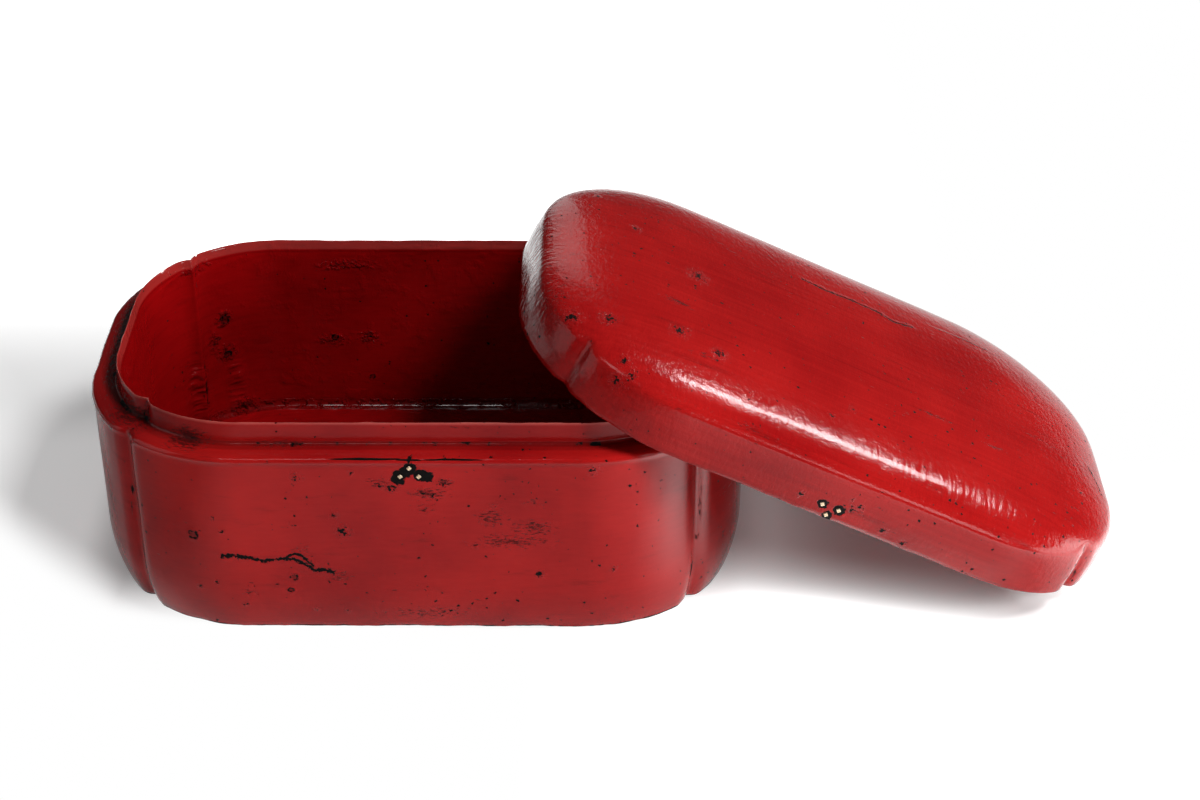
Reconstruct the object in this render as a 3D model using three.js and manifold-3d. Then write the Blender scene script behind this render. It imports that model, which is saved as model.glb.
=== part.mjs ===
// Lacquered wooden box with a lift-off domed lid. The lid has been taken off and leans on the
// box's right end: the lower edge of its skirt rests on the ledge, and its right end is on the table.
// Millimetres. +X runs to the right along the front, +Y to the back and +Z up.
// The origin is the centre of the box's underside, on the table.

import * as THREE from 'three';
import { mergeVertices } from 'three/addons/utils/BufferGeometryUtils.js';
import Module from 'manifold-3d';

// Outline that the box and the lid share: a rounded rectangle with a groove down each corner
const LENGTH = 320;
const WIDTH = 206;
const CORNER_RADIUS = 80;
const GROOVE_DEPTH = 3;
const GROOVE_HALF_WIDTH = 10;

// Box body
const LEDGE_HEIGHT = 102.5;
const LEDGE_DEPTH = 12;
const BEAD_OVERHANG = 0.7;
const BEAD_HEIGHT = 4.5;
const FOOT_INSET = 5.4;
const FOOT_HEIGHT = 29;
const BOARD_SEAT_HEIGHT = 9;
const FLOOR_RISE = 2.5;

// Lip that stands above the ledge and locates the lid
const LIP_HEIGHT = 11;
const LIP_TAPER = 1.2;
const LIP_TOP_THICKNESS = 2.6;
const LIP_REBATE_DEPTH = 12;

// Lid
const SKIRT_HEIGHT = 21;
const LID_RISE = 19.5;
const LID_TOP_THICKNESS = 8;
const DOME_POWER = 2.3;
const CORNER_EASE = 16;
const GROOVE_FADE = 14;
const LID_CLEARANCE = 0.6;
const LID_TILT_DEGREES = 25.5;

// Square nail stubs of a lost fitting: three on the front wall and three on the lid's front skirt
const PIN_WIDTH = 2.4;
const PIN_LENGTH = 6;
const PIN_PROUD = 0.4;
const PIN_HALF_SPACING = 4.3;
const PIN_ROW_OFFSET = 4.6;
const BODY_PIN_BELOW_LEDGE = 6.3;
const LID_PIN_ABOVE_RIM = 2.8;

// Small rounding of the exposed edges, the glue line between neighbours and the lid's resting gaps
const EDGE_ROUND = 0.7;
const JOINT_GAP = 0.3;
const TABLE_GAP = 0.05;

// Faceting
const GROOVE_STEPS = 3;
const ARC_STEPS = 5;
const FOOT_STEPS = 4;
const DOME_STEPS = [0, 0.01, 0.03, 0.065, 0.12, 0.2, 0.32, 0.48];
const CROWN_STEPS = [0.36, 0.7];
const REST_SAMPLES = 400;
const REST_PASSES = 60;

// Sizes that follow from the driving ones
const HALF_LENGTH = LENGTH / 2;
const HALF_WIDTH = WIDTH / 2;
const WALL_THICKNESS = LEDGE_DEPTH + LIP_TAPER + LIP_TOP_THICKNESS;
const SKIRT_THICKNESS = LEDGE_DEPTH - LID_CLEARANCE;
const LIP_SEAT = LEDGE_HEIGHT - LIP_REBATE_DEPTH;
const LID_TILT = THREE.MathUtils.degToRad(LID_TILT_DEGREES);
const QUARTER_TURN = Math.PI / 2;

const LACQUER = { color: 0x8e1d1c, roughness: 0.32, metalness: 0 };
const INNER_LACQUER = { color: 0x6e1012, roughness: 0.35, metalness: 0 };
const NAIL = { color: 0xd9b48c, roughness: 0.4, metalness: 1 };

// Inset of the corner groove at a given angle from the corner's diagonal: two convex lobes in a cusp
function grooveInset(angle, radius, depth) {
  const reach = 1 - (angle * radius) / GROOVE_HALF_WIDTH;
  return reach > 0 ? depth * reach * reach : 0;
}

// Angles from the corner's diagonal to the start of the straight stretch
function cornerAngles(radius) {
  const grooveAngle = GROOVE_HALF_WIDTH / radius;
  const arcAngle = QUARTER_TURN / 2 - grooveAngle;
  const angles = [];
  for (let step = 0; step < GROOVE_STEPS; step += 1) {
    angles.push((grooveAngle * step) / GROOVE_STEPS);
  }
  for (let step = 0; step <= ARC_STEPS; step += 1) {
    angles.push(grooveAngle + (arcAngle * step) / ARC_STEPS);
  }
  return angles;
}

// One side of the outline, as [along, out] points from its right corner joint to its left one.
// The side lies halfOut from the centre and reaches halfAlong each way.
function sidePoints(halfAlong, halfOut, inset, shape) {
  const { radius = CORNER_RADIUS, groove = GROOVE_DEPTH, gap = 0 } = shape;
  const centre = [halfAlong - radius, halfOut - radius];
  const right = cornerAngles(radius).map((angle) => {
    const direction = QUARTER_TURN / 2 + angle;
    const reach = radius - inset - grooveInset(angle, radius, groove);
    const backOff = angle === 0 ? (gap / 2) * Math.SQRT1_2 : 0;
    return [
      centre[0] + reach * Math.cos(direction) - backOff,
      centre[1] + reach * Math.sin(direction) + backOff,
    ];
  });
  const left = right.map(([along, out]) => [-along, out]).reverse();
  return [...right, ...left];
}

// The whole outline at one height, counter-clockwise seen from above
function ring(inset, z, shape = {}) {
  const points = [];
  for (let quarter = 0; quarter < 4; quarter += 1) {
    const isLong = quarter % 2 === 0;
    const side = isLong
      ? sidePoints(HALF_LENGTH, HALF_WIDTH, inset, shape)
      : sidePoints(HALF_WIDTH, HALF_LENGTH, inset, shape);
    for (const [along, out] of side.slice(0, -1)) {
      const turned = [[along, out], [-out, along], [-along, -out], [out, -along]][quarter];
      points.push([...turned, z]);
    }
  }
  return points;
}

function meshGeometry(points, triangles) {
  const geometry = new THREE.BufferGeometry();
  geometry.setAttribute('position', new THREE.Float32BufferAttribute(points.flat(), 3));
  geometry.setIndex(triangles.flat());
  geometry.computeVertexNormals();
  return geometry;
}

// A board along one side: a section of [inset, z] points swept from joint to joint. The section
// runs up the outer face, inwards over the top and down the inner face.
function boardGeometry(section, halfAlong, halfOut) {
  const rows = section.map(([inset, z]) =>
    sidePoints(halfAlong, halfOut, inset, { gap: JOINT_GAP }).map(([along, out]) => [along, out, z]),
  );
  const stations = rows[0].length;
  const at = (row, station) => (row % rows.length) * stations + station;
  const triangles = [];
  for (let row = 0; row < rows.length; row += 1) {
    for (let station = 0; station < stations - 1; station += 1) {
      const corner = at(row + 1, station + 1);
      triangles.push([at(row, station), at(row, station + 1), corner]);
      triangles.push([at(row, station), corner, at(row + 1, station)]);
    }
  }
  const contour = section.map(([inset, z]) => new THREE.Vector2(-inset, z));
  for (const [a, b, c] of THREE.ShapeUtils.triangulateShape(contour, [])) {
    triangles.push([at(a, 0), at(b, 0), at(c, 0)]);
    triangles.push([at(a, stations - 1), at(c, stations - 1), at(b, stations - 1)]);
  }
  return meshGeometry(rows.flat(), triangles);
}

// A solid skinned over rings, from the middle of its upper face, out over its rim, to the middle of
// its lower face
function ringSolid(rings, upperCentre, lowerCentre) {
  const count = rings[0].length;
  const points = [...rings.flat(), upperCentre, lowerCentre];
  const upper = points.length - 2;
  const lower = points.length - 1;
  const at = (row, station) => row * count + (station % count);
  const last = rings.length - 1;
  const triangles = [];
  for (let station = 0; station < count; station += 1) {
    triangles.push([upper, at(0, station), at(0, station + 1)]);
    for (let row = 0; row < last; row += 1) {
      const corner = at(row + 1, station + 1);
      triangles.push([at(row, station), at(row + 1, station), corner]);
      triangles.push([at(row, station), corner, at(row, station + 1)]);
    }
    triangles.push([at(last, station), lower, at(last, station + 1)]);
  }
  return meshGeometry(points, triangles);
}

const wasm = await Module();
wasm.setup();

function toManifold(geometry) {
  const bare = geometry.clone();
  bare.deleteAttribute('normal');
  bare.deleteAttribute('uv');
  const merged = mergeVertices(bare);
  return new wasm.Manifold(new wasm.Mesh({
    numProp: 3,
    vertProperties: new Float32Array(merged.attributes.position.array),
    triVerts: new Uint32Array(merged.index.array),
  }));
}

// Cuts each tool's shape out of a board
function cut(geometry, tools) {
  const solid = tools.reduce((rest, tool) => rest.subtract(toManifold(tool)), toManifold(geometry));
  const mesh = solid.getMesh();
  const result = new THREE.BufferGeometry();
  result.setAttribute('position', new THREE.BufferAttribute(mesh.vertProperties, 3));
  result.setIndex(new THREE.BufferAttribute(mesh.triVerts, 1));
  result.computeVertexNormals();
  return result;
}

function namedMesh(name, geometry, finish) {
  const mesh = new THREE.Mesh(geometry, new THREE.MeshStandardMaterial(finish));
  mesh.name = name;
  return mesh;
}

// How far the outer face stands in from the outline: a rounded foot, then a plain wall
function outerInset(z) {
  const footShare = Math.max(0, 1 - z / FOOT_HEIGHT);
  return BEAD_OVERHANG + FOOT_INSET * footShare * footShare;
}

function footCurve(fromZ, toZ) {
  const curve = [];
  for (let step = 0; step <= FOOT_STEPS; step += 1) {
    const z = fromZ + ((toZ - fromZ) * step) / FOOT_STEPS;
    curve.push([outerInset(z), z]);
  }
  return curve;
}

function wallSection() {
  const beadFoot = LEDGE_HEIGHT - BEAD_HEIGHT;
  return [
    ...footCurve(BOARD_SEAT_HEIGHT, FOOT_HEIGHT),
    [BEAD_OVERHANG, beadFoot],
    [0, beadFoot + BEAD_HEIGHT / 2],
    [0, LEDGE_HEIGHT - EDGE_ROUND],
    [EDGE_ROUND, LEDGE_HEIGHT],
    [LEDGE_DEPTH, LEDGE_HEIGHT],
    [LEDGE_DEPTH, LIP_SEAT],
    [WALL_THICKNESS, LIP_SEAT],
    [WALL_THICKNESS, BOARD_SEAT_HEIGHT],
  ];
}

function lipSection() {
  const base = LEDGE_DEPTH + JOINT_GAP;
  const top = LEDGE_HEIGHT + LIP_HEIGHT;
  return [
    [base, LIP_SEAT],
    [base, LEDGE_HEIGHT],
    [LEDGE_DEPTH + LIP_TAPER, top - EDGE_ROUND],
    [LEDGE_DEPTH + LIP_TAPER + EDGE_ROUND, top],
    [WALL_THICKNESS - EDGE_ROUND, top],
    [WALL_THICKNESS, top - EDGE_ROUND],
    [WALL_THICKNESS, LIP_SEAT],
  ];
}

function skirtSection() {
  const top = SKIRT_HEIGHT - JOINT_GAP;
  return [
    [EDGE_ROUND, 0],
    [0, EDGE_ROUND],
    [0, top],
    [SKIRT_THICKNESS, top],
    [SKIRT_THICKNESS, 0],
  ];
}

// Bottom board: the walls stand on its rim, round a raised field that is the box's floor
function bottomBoard() {
  const fieldInset = WALL_THICKNESS + JOINT_GAP;
  const floor = BOARD_SEAT_HEIGHT + FLOOR_RISE;
  const rim = footCurve(0, BOARD_SEAT_HEIGHT).reverse();
  const rings = [
    ring(fieldInset, floor),
    ring(fieldInset, BOARD_SEAT_HEIGHT),
    ...rim.map(([inset, z]) => ring(inset, z)),
  ];
  const geometry = ringSolid(rings, [0, 0, floor], [0, 0, 0]);
  return namedMesh('bottom_board', geometry, INNER_LACQUER);
}

// Share of a dome's rise at a given share of the way from its edge to its middle
function domeShare(share) {
  return (1 - (1 - share) ** DOME_POWER) ** (1 / DOME_POWER);
}

// One face of the lid's dome, from its rim to near its middle. The corners grow rounder and the
// grooves fade as the face rises.
function domeRings(rimInset, rise) {
  const span = HALF_WIDTH - rimInset;
  const shoulder = DOME_STEPS.map((share) => {
    const lift = domeShare(share);
    const fade = Math.max(0, 1 - (span * share) / GROOVE_FADE);
    return ring(rimInset + span * share, SKIRT_HEIGHT + rise * lift, {
      radius: CORNER_RADIUS + CORNER_EASE * lift * lift,
      groove: GROOVE_DEPTH * fade,
    });
  });
  const lastShare = DOME_STEPS.at(-1);
  const crown = CROWN_STEPS.map((step) => {
    const z = SKIRT_HEIGHT + rise * domeShare(lastShare + (1 - lastShare) * step);
    return shoulder.at(-1).map(([x, y]) => [x * (1 - step), y * (1 - step), z]);
  });
  return [...shoulder, ...crown];
}

function lidTopPanel() {
  const innerRise = LID_RISE - LID_TOP_THICKNESS;
  const rings = [
    ...domeRings(0, LID_RISE).reverse(),
    ...domeRings(SKIRT_THICKNESS, innerRise),
  ];
  const geometry = ringSolid(
    rings,
    [0, 0, SKIRT_HEIGHT + LID_RISE],
    [0, 0, SKIRT_HEIGHT + innerRise],
  );
  return namedMesh('lid_top_panel', geometry, LACQUER);
}

// A square nail stub set into a front face, or its hole when it is given a clearance. The face is
// seen from inside its own side's group, where the outside is +Y.
function pinGeometry(along, z, faceOut, clearance = 0) {
  const width = PIN_WIDTH + 2 * clearance;
  const length = PIN_LENGTH + 2 * clearance;
  const geometry = new THREE.BoxGeometry(width, length, width);
  geometry.rotateY(QUARTER_TURN / 2);
  geometry.translate(along, faceOut + PIN_PROUD - PIN_LENGTH / 2, z);
  return geometry;
}

// Three nails in a triangle whose tip points at the seam between box and lid
function pinPattern(tipZ, rowDirection) {
  const rowZ = tipZ + rowDirection * PIN_ROW_OFFSET;
  return { tip: [0, tipZ], left: [PIN_HALF_SPACING, rowZ], right: [-PIN_HALF_SPACING, rowZ] };
}

const SIDES = [
  { side: 'back', quarter: 0, halfAlong: HALF_LENGTH, halfOut: HALF_WIDTH },
  { side: 'left', quarter: 1, halfAlong: HALF_WIDTH, halfOut: HALF_LENGTH },
  { side: 'front', quarter: 2, halfAlong: HALF_LENGTH, halfOut: HALF_WIDTH },
  { side: 'right', quarter: 3, halfAlong: HALF_WIDTH, halfOut: HALF_LENGTH },
];

function sideGroup(quarter) {
  const group = new THREE.Group();
  group.rotation.z = quarter * QUARTER_TURN;
  return group;
}

// Adds a board to its side's group and, on the front, its nails in their holes
function addBoard(group, name, geometry, pins, faceOut, pinPrefix) {
  const holes = pins.map(([, place]) => pinGeometry(...place, faceOut, JOINT_GAP));
  group.add(namedMesh(name, holes.length ? cut(geometry, holes) : geometry, LACQUER));
  for (const [place, position] of pins) {
    group.add(namedMesh(`${pinPrefix}_${place}`, pinGeometry(...position, faceOut), NAIL));
  }
}

function boxBody() {
  const body = new THREE.Group();
  body.add(bottomBoard());
  const pattern = Object.entries(pinPattern(LEDGE_HEIGHT - BODY_PIN_BELOW_LEDGE, -1));
  for (const { side, quarter, halfAlong, halfOut } of SIDES) {
    const group = sideGroup(quarter);
    const wall = boardGeometry(wallSection(), halfAlong, halfOut);
    const pins = side === 'front' ? pattern : [];
    addBoard(group, `body_${side}_wall`, wall, pins, halfOut - BEAD_OVERHANG, 'body_pin');
    group.add(namedMesh(`lip_${side}`, boardGeometry(lipSection(), halfAlong, halfOut), LACQUER));
    body.add(group);
  }
  return body;
}

// Inset of a point of the plan from the outline, grooves left out
function insetAt(x, y) {
  const fromX = Math.abs(x) - (HALF_LENGTH - CORNER_RADIUS);
  const fromY = Math.abs(y) - (HALF_WIDTH - CORNER_RADIUS);
  if (fromX > 0 && fromY > 0) {
    return CORNER_RADIUS - Math.hypot(fromX, fromY);
  }
  return CORNER_RADIUS - Math.max(fromX, fromY);
}

// Least height of the leaning lid's skirt above the ledge's outer edge, square to the lid's rim
function skirtClearance(lidX, lidZ) {
  let clearance = Infinity;
  for (let sample = 0; sample <= REST_SAMPLES; sample += 1) {
    const angle = (QUARTER_TURN * sample) / REST_SAMPLES;
    const x = HALF_LENGTH - CORNER_RADIUS + CORNER_RADIUS * Math.cos(angle) - lidX;
    const y = HALF_WIDTH - CORNER_RADIUS + CORNER_RADIUS * Math.sin(angle);
    const z = LEDGE_HEIGHT - lidZ;
    const lidInset = insetAt(x * Math.cos(LID_TILT) - z * Math.sin(LID_TILT), y);
    if (lidInset >= 0 && lidInset <= SKIRT_THICKNESS) {
      clearance = Math.min(clearance, -(x * Math.sin(LID_TILT) + z * Math.cos(LID_TILT)));
    }
  }
  return clearance;
}

// Slides the tilted lid up to the box until its skirt rests on the ledge
function restingPlace() {
  const lidZ = (HALF_LENGTH - EDGE_ROUND) * Math.sin(LID_TILT) + TABLE_GAP;
  let near = 0;
  let far = LENGTH;
  for (let pass = 0; pass < REST_PASSES; pass += 1) {
    const middle = (near + far) / 2;
    if (skirtClearance(middle, lidZ) < JOINT_GAP) {
      near = middle;
    } else {
      far = middle;
    }
  }
  return [far, 0, lidZ];
}

function lid() {
  const group = new THREE.Group();
  group.add(lidTopPanel());
  const pattern = Object.entries(pinPattern(LID_PIN_ABOVE_RIM, 1));
  for (const { side, quarter, halfAlong, halfOut } of SIDES) {
    const skirt = sideGroup(quarter);
    const pins = side === 'front' ? pattern : [];
    const geometry = boardGeometry(skirtSection(), halfAlong, halfOut);
    addBoard(skirt, `lid_${side}_skirt`, geometry, pins, halfOut, 'lid_pin');
    group.add(skirt);
  }
  group.position.set(...restingPlace());
  group.rotation.y = LID_TILT;
  return group;
}

const lacquerBox = new THREE.Group();
lacquerBox.add(boxBody(), lid());

export default lacquerBox;
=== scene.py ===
"""Looks of a red lacquered wooden box whose domed lid leans on the box's right end.

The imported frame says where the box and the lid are. One Geometry Nodes tree sweeps a section round
the grooved outline that both share, and another sets the nail stubs of the lost clasp. One lacquer
recipe, red over a black undercoat, finishes the outside and the inside of both.
"""

from __future__ import annotations

import logging
import math
from dataclasses import dataclass, field, replace
from enum import Enum
from typing import Any, Sequence, Union

import bmesh
import bpy
from mathutils import Matrix, Vector

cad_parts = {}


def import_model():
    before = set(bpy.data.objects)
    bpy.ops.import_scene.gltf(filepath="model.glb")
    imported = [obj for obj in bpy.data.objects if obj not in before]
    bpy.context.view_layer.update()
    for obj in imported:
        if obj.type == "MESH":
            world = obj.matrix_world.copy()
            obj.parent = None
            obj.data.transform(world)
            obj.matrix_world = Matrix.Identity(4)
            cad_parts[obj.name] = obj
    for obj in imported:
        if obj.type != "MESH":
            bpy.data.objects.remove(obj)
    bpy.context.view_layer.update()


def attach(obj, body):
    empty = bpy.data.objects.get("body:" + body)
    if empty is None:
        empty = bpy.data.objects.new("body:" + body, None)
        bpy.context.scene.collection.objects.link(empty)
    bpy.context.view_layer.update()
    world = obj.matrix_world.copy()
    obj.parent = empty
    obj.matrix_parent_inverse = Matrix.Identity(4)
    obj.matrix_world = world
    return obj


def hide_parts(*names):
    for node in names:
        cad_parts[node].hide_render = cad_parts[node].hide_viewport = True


LOG = logging.getLogger("lacquer_box")
MM = 0.001
PER_MM = 1000.0

Operand = Union["Wire", float, Sequence[float]]
Colour = tuple[float, float, float]
Point = tuple[float, float]
Place = tuple[float, float, float]


class Wire:
    """A node's output, which Python's operators combine through Math and Vector Math nodes."""

    def __init__(self, graph: Graph, socket: bpy.types.NodeSocket) -> None:
        """Wraps one output socket of a graph."""
        self.graph = graph
        self.socket = socket

    def __add__(self, other: Operand) -> Wire:
        """Sum."""
        return self.graph.math("ADD", self, other)

    def __radd__(self, other: Operand) -> Wire:
        """Sum, with the wire on the right."""
        return self.graph.math("ADD", other, self)

    def __sub__(self, other: Operand) -> Wire:
        """Difference."""
        return self.graph.math("SUBTRACT", self, other)

    def __rsub__(self, other: Operand) -> Wire:
        """Difference, with the wire on the right."""
        return self.graph.math("SUBTRACT", other, self)

    def __mul__(self, other: Operand) -> Wire:
        """Product."""
        return self.graph.math("MULTIPLY", self, other)

    def __rmul__(self, other: Operand) -> Wire:
        """Product, with the wire on the right."""
        return self.graph.math("MULTIPLY", other, self)

    def __truediv__(self, other: Operand) -> Wire:
        """Quotient."""
        return self.graph.math("DIVIDE", self, other)

    def __abs__(self) -> Wire:
        """Absolute value."""
        return self.graph.math("ABSOLUTE", self)

    def __pow__(self, power: float) -> Wire:
        """Power."""
        return self.graph.math("POWER", self, power)

    def least(self, other: Operand) -> Wire:
        """The smaller of the two."""
        return self.graph.math("MINIMUM", self, other)

    def most(self, other: Operand) -> Wire:
        """The larger of the two."""
        return self.graph.math("MAXIMUM", self, other)

    def step(self, low: Operand, high: Operand) -> Wire:
        """Smooth step.

        Args:
            low: Value at which the result is 0.
            high: Value at which the result is 1. It may be the smaller of the two.

        Returns:
            A number from 0 to 1.
        """
        inputs = {"Value": self, "From Min": low, "From Max": high}
        return self.graph.node("ShaderNodeMapRange", {"interpolation_type": "SMOOTHSTEP"}, inputs)

    def part(self, axis: str) -> Wire:
        """One coordinate of a vector, named X, Y or Z."""
        return self.graph.node("ShaderNodeSeparateXYZ", {}, {"Vector": self}, axis)


class Graph:
    """A node tree that is being written."""

    def __init__(self, tree: bpy.types.NodeTree) -> None:
        """Starts with an empty tree."""
        self.tree = tree
        self.tree.nodes.clear()

    def node(
        self,
        kind: str,
        settings: dict[str, Any] | None = None,
        inputs: dict[str | int, Any] | None = None,
        output: str | int = 0,
    ) -> Wire:
        """Adds a node.

        Args:
            kind: The node's type.
            settings: Properties of the node, which are set first.
            inputs: Values or wires for its sockets, by name or place.
            output: The output to hand back, by name or place.

        Returns:
            That output.
        """
        made = self.tree.nodes.new(kind)
        for name, value in (settings or {}).items():
            setattr(made, name, value)
        for key, value in (inputs or {}).items():
            if isinstance(value, Wire):
                self.tree.links.new(value.socket, made.inputs[key])
            else:
                made.inputs[key].default_value = value
        return Wire(self, made.outputs[output]) if made.outputs else Wire(self, None)

    def math(self, operation: str, *operands: Operand) -> Wire:
        """Adds a Math node, or a Vector Math node if any operand is a vector.

        Args:
            operation: The node's operation.
            operands: Its inputs in order.

        Returns:
            The result.
        """
        def is_vector(operand: Operand) -> bool:
            """Whether an operand is a vector or a colour."""
            if isinstance(operand, Wire):
                return operand.socket.type in ("VECTOR", "RGBA")
            return not isinstance(operand, (int, float))

        if not any(is_vector(operand) for operand in operands):
            inputs = dict(enumerate(operands))
            return self.node("ShaderNodeMath", {"operation": operation}, inputs)
        spread = [(o,) * 3 if isinstance(o, (int, float)) else o for o in operands]
        inputs = dict(enumerate(spread))
        return self.node("ShaderNodeVectorMath", {"operation": operation}, inputs)

    def length(self, vector: Wire) -> Wire:
        """Length of a vector."""
        return self.node("ShaderNodeVectorMath", {"operation": "LENGTH"}, {0: vector}, "Value")

    def dot(self, first: Wire, second: Operand) -> Wire:
        """Dot product of two vectors."""
        settings = {"operation": "DOT_PRODUCT"}
        return self.node("ShaderNodeVectorMath", settings, {0: first, 1: second}, "Value")

    def vector(self, x: Operand, y: Operand, z: Operand) -> Wire:
        """A vector from three numbers."""
        return self.node("ShaderNodeCombineXYZ", {}, {0: x, 1: y, 2: z})

    def mix_vector(self, share: Operand, first: Wire, second: Wire) -> Wire:
        """A blend of two vectors."""
        settings = {"data_type": "VECTOR"}
        return self.node("ShaderNodeMix", settings, {0: share, 4: first, 5: second}, 1)

    def mix_colour(self, share: Operand, first: Wire | Colour, second: Wire | Colour) -> Wire:
        """A blend of two colours.

        Args:
            share: Share of the second.
            first: One colour.
            second: The other.

        Returns:
            The blend.
        """
        def rgba(colour: Wire | Colour) -> Wire | tuple[float, ...]:
            """A colour with its alpha."""
            return colour if isinstance(colour, Wire) else (*colour, 1.0)

        inputs = {0: share, 6: rgba(first), 7: rgba(second)}
        return self.node("ShaderNodeMix", {"data_type": "RGBA"}, inputs, 2)

    def noise(self, place: Wire, scale: float, detail: float = 2.0, rough: float = 0.5) -> Wire:
        """Smooth noise from 0 to 1.

        Args:
            place: Coordinates that it varies over.
            scale: Waves per unit of those coordinates.
            detail: Number of finer octaves.
            rough: Strength of each finer octave.

        Returns:
            The noise.
        """
        inputs = {"Vector": place, "Scale": scale, "Detail": detail, "Roughness": rough}
        return self.node("ShaderNodeTexNoise", {}, inputs)


class GeometryTree(Graph):
    """A Geometry Nodes tree with named inputs, whose result is baked to a plain mesh."""

    def __init__(self, name: str) -> None:
        """Starts a tree that takes and gives a geometry.

        Args:
            name: Name of the tree.
        """
        super().__init__(bpy.data.node_groups.new(name, "GeometryNodeTree"))
        self.identifiers: dict[str, str] = {}
        self.group_input = self.tree.nodes.new("NodeGroupInput")
        self.tree.interface.new_socket("Geometry", in_out="OUTPUT", socket_type="NodeSocketGeometry")

    def input(self, name: str, kind: str) -> Wire:
        """Adds a named input.

        Args:
            name: The input's name.
            kind: Float, Int, Vector, Material or Geometry.

        Returns:
            Its value inside the tree.
        """
        made = self.tree.interface.new_socket(
            name, in_out="INPUT", socket_type=f"NodeSocket{kind}"
        )
        self.identifiers[name] = made.identifier
        return Wire(self, self.group_input.outputs[name])

    def attribute(self, name: str, kind: str = "FLOAT") -> Wire:
        """Reads a named attribute."""
        return self.node("GeometryNodeInputNamedAttribute", {"data_type": kind}, {"Name": name})

    def store(self, geometry: Wire, name: str, value: Wire, kind: str = "FLOAT") -> Wire:
        """Stores a named attribute on the points of a geometry.

        Args:
            geometry: The geometry.
            name: The attribute's name.
            value: Its value at each point.
            kind: Its data type.

        Returns:
            The geometry with the attribute.
        """
        settings = {"data_type": kind, "domain": "POINT"}
        inputs = {"Geometry": geometry, "Name": name, "Value": value}
        return self.node("GeometryNodeStoreNamedAttribute", settings, inputs)

    def finish(self, geometry: Wire) -> None:
        """Links the tree's result to its output."""
        self.node("NodeGroupOutput", {}, {"Geometry": geometry})

    def bake(self, piece: bpy.types.Object, values: dict[str, Any]) -> None:
        """Runs the tree on a piece and keeps the result as the piece's own mesh.

        Args:
            piece: Object whose mesh is the tree's input geometry.
            values: The other inputs, by name.
        """
        modifier = piece.modifiers.new(self.tree.name, "NODES")
        modifier.node_group = self.tree
        for name, value in values.items():
            modifier[self.identifiers[name]] = value
        depsgraph = bpy.context.evaluated_depsgraph_get()
        mesh = bpy.data.meshes.new_from_object(
            piece.evaluated_get(depsgraph), preserve_all_data_layers=True, depsgraph=depsgraph
        )
        piece.modifiers.remove(modifier)
        piece.data = mesh


@dataclass(frozen=True)
class Outline:
    """Plan that the box and the lid share: a rounded rectangle with a groove down each corner.

    Swell, ripple and knocks are depths in millimetres, by which the hand-made skin is uneven.
    """

    length: float = 320.0
    width: float = 206.0
    corner_radius: float = 80.0
    groove_depth: float = 3.0
    groove_half_width: float = 10.0
    swell: float = 0.5
    ripple: float = 0.25
    knocks: float = 0.5
    seed: float = 3.0

    @property
    def half_width(self) -> float:
        """Half the width, which is the deepest inset."""
        return self.width / 2


@dataclass(frozen=True)
class SectionPoint:
    """One point of a section that is swept round the outline.

    The inset is measured in from the outline. Shrink scales the ring towards the middle, ease makes
    its corners rounder, and groove is the share of the groove's depth. The other values mark worn
    edges, creases (worn in spots and darkened with painted shade), the inside, and the share of a
    painted highlight, a paler red where light would glint.
    """

    inset: float
    height: float
    shrink: float = 1.0
    ease: float = 0.0
    groove: float = 1.0
    edge: float = 0.0
    crease: float = 0.0
    inside: float = 0.0
    thin: float = 0.0


class Section:
    """A section in millimetres, drawn point by point."""

    MARKS = ("inset", "height", "shrink", "ease", "groove", "edge", "crease", "inside", "thin")

    def __init__(self) -> None:
        """Starts with no points."""
        self.points: list[SectionPoint] = []

    def add(self, inset: float, height: float, **marks: float) -> None:
        """Adds one point."""
        self.points.append(SectionPoint(inset, height, **marks))

    def line(self, inset: float, height: float, spacing: float, **marks: float) -> None:
        """Adds evenly spaced points from the last one to a new one.

        Args:
            inset: Inset of the new point.
            height: Height of the new point.
            spacing: Greatest distance between points.
            marks: Other values of the points. The groove changes evenly, and the rest is the same.
        """
        start = self.points[-1]
        groove = marks.pop("groove", 1.0)
        steps = math.ceil(math.dist((start.inset, start.height), (inset, height)) / spacing)
        for step in range(1, steps + 1):
            share = step / steps
            self.add(
                start.inset + (inset - start.inset) * share,
                start.height + (height - start.height) * share,
                groove=start.groove + (groove - start.groove) * share,
                **marks,
            )

    def arc(self, centre: Point, radius: float, turn: Point, steps: int, **marks: float) -> None:
        """Adds an arc, whose first point is there already.

        Args:
            centre: Inset and height of its centre.
            radius: Its radius.
            turn: First and last angle in degrees, 0 towards larger insets and 90 upwards.
            steps: Number of points to add.
            marks: Other values of the points.
        """
        for step in range(1, steps + 1):
            angle = math.radians(turn[0] + (turn[1] - turn[0]) * step / steps)
            self.add(
                centre[0] + radius * math.cos(angle),
                centre[1] + radius * math.sin(angle),
                **marks,
            )

    def to_mesh(self, name: str) -> bpy.types.Mesh:
        """Makes a chain of edges whose vertices carry the section's values.

        Args:
            name: Name of the mesh.

        Returns:
            The mesh.
        """
        mesh = bpy.data.meshes.new(name)
        chain = [(point.inset * MM, 0.0, point.height * MM) for point in self.points]
        mesh.from_pydata(chain, [(i, i + 1) for i in range(len(chain) - 1)], [])
        for mark in self.MARKS:
            unit = MM if mark in ("inset", "height") else 1.0
            attribute = mesh.attributes.new(mark, "FLOAT", "POINT")
            values = [getattr(point, mark) * unit for point in self.points]
            attribute.data.foreach_set("value", values)
        travel = mesh.attributes.new("travel", "FLOAT", "POINT")
        distance = 0.0
        for index in range(1, len(chain)):
            distance += max(math.dist(chain[index - 1], chain[index]), MM)
            travel.data[index].value = distance
        return mesh


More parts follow.
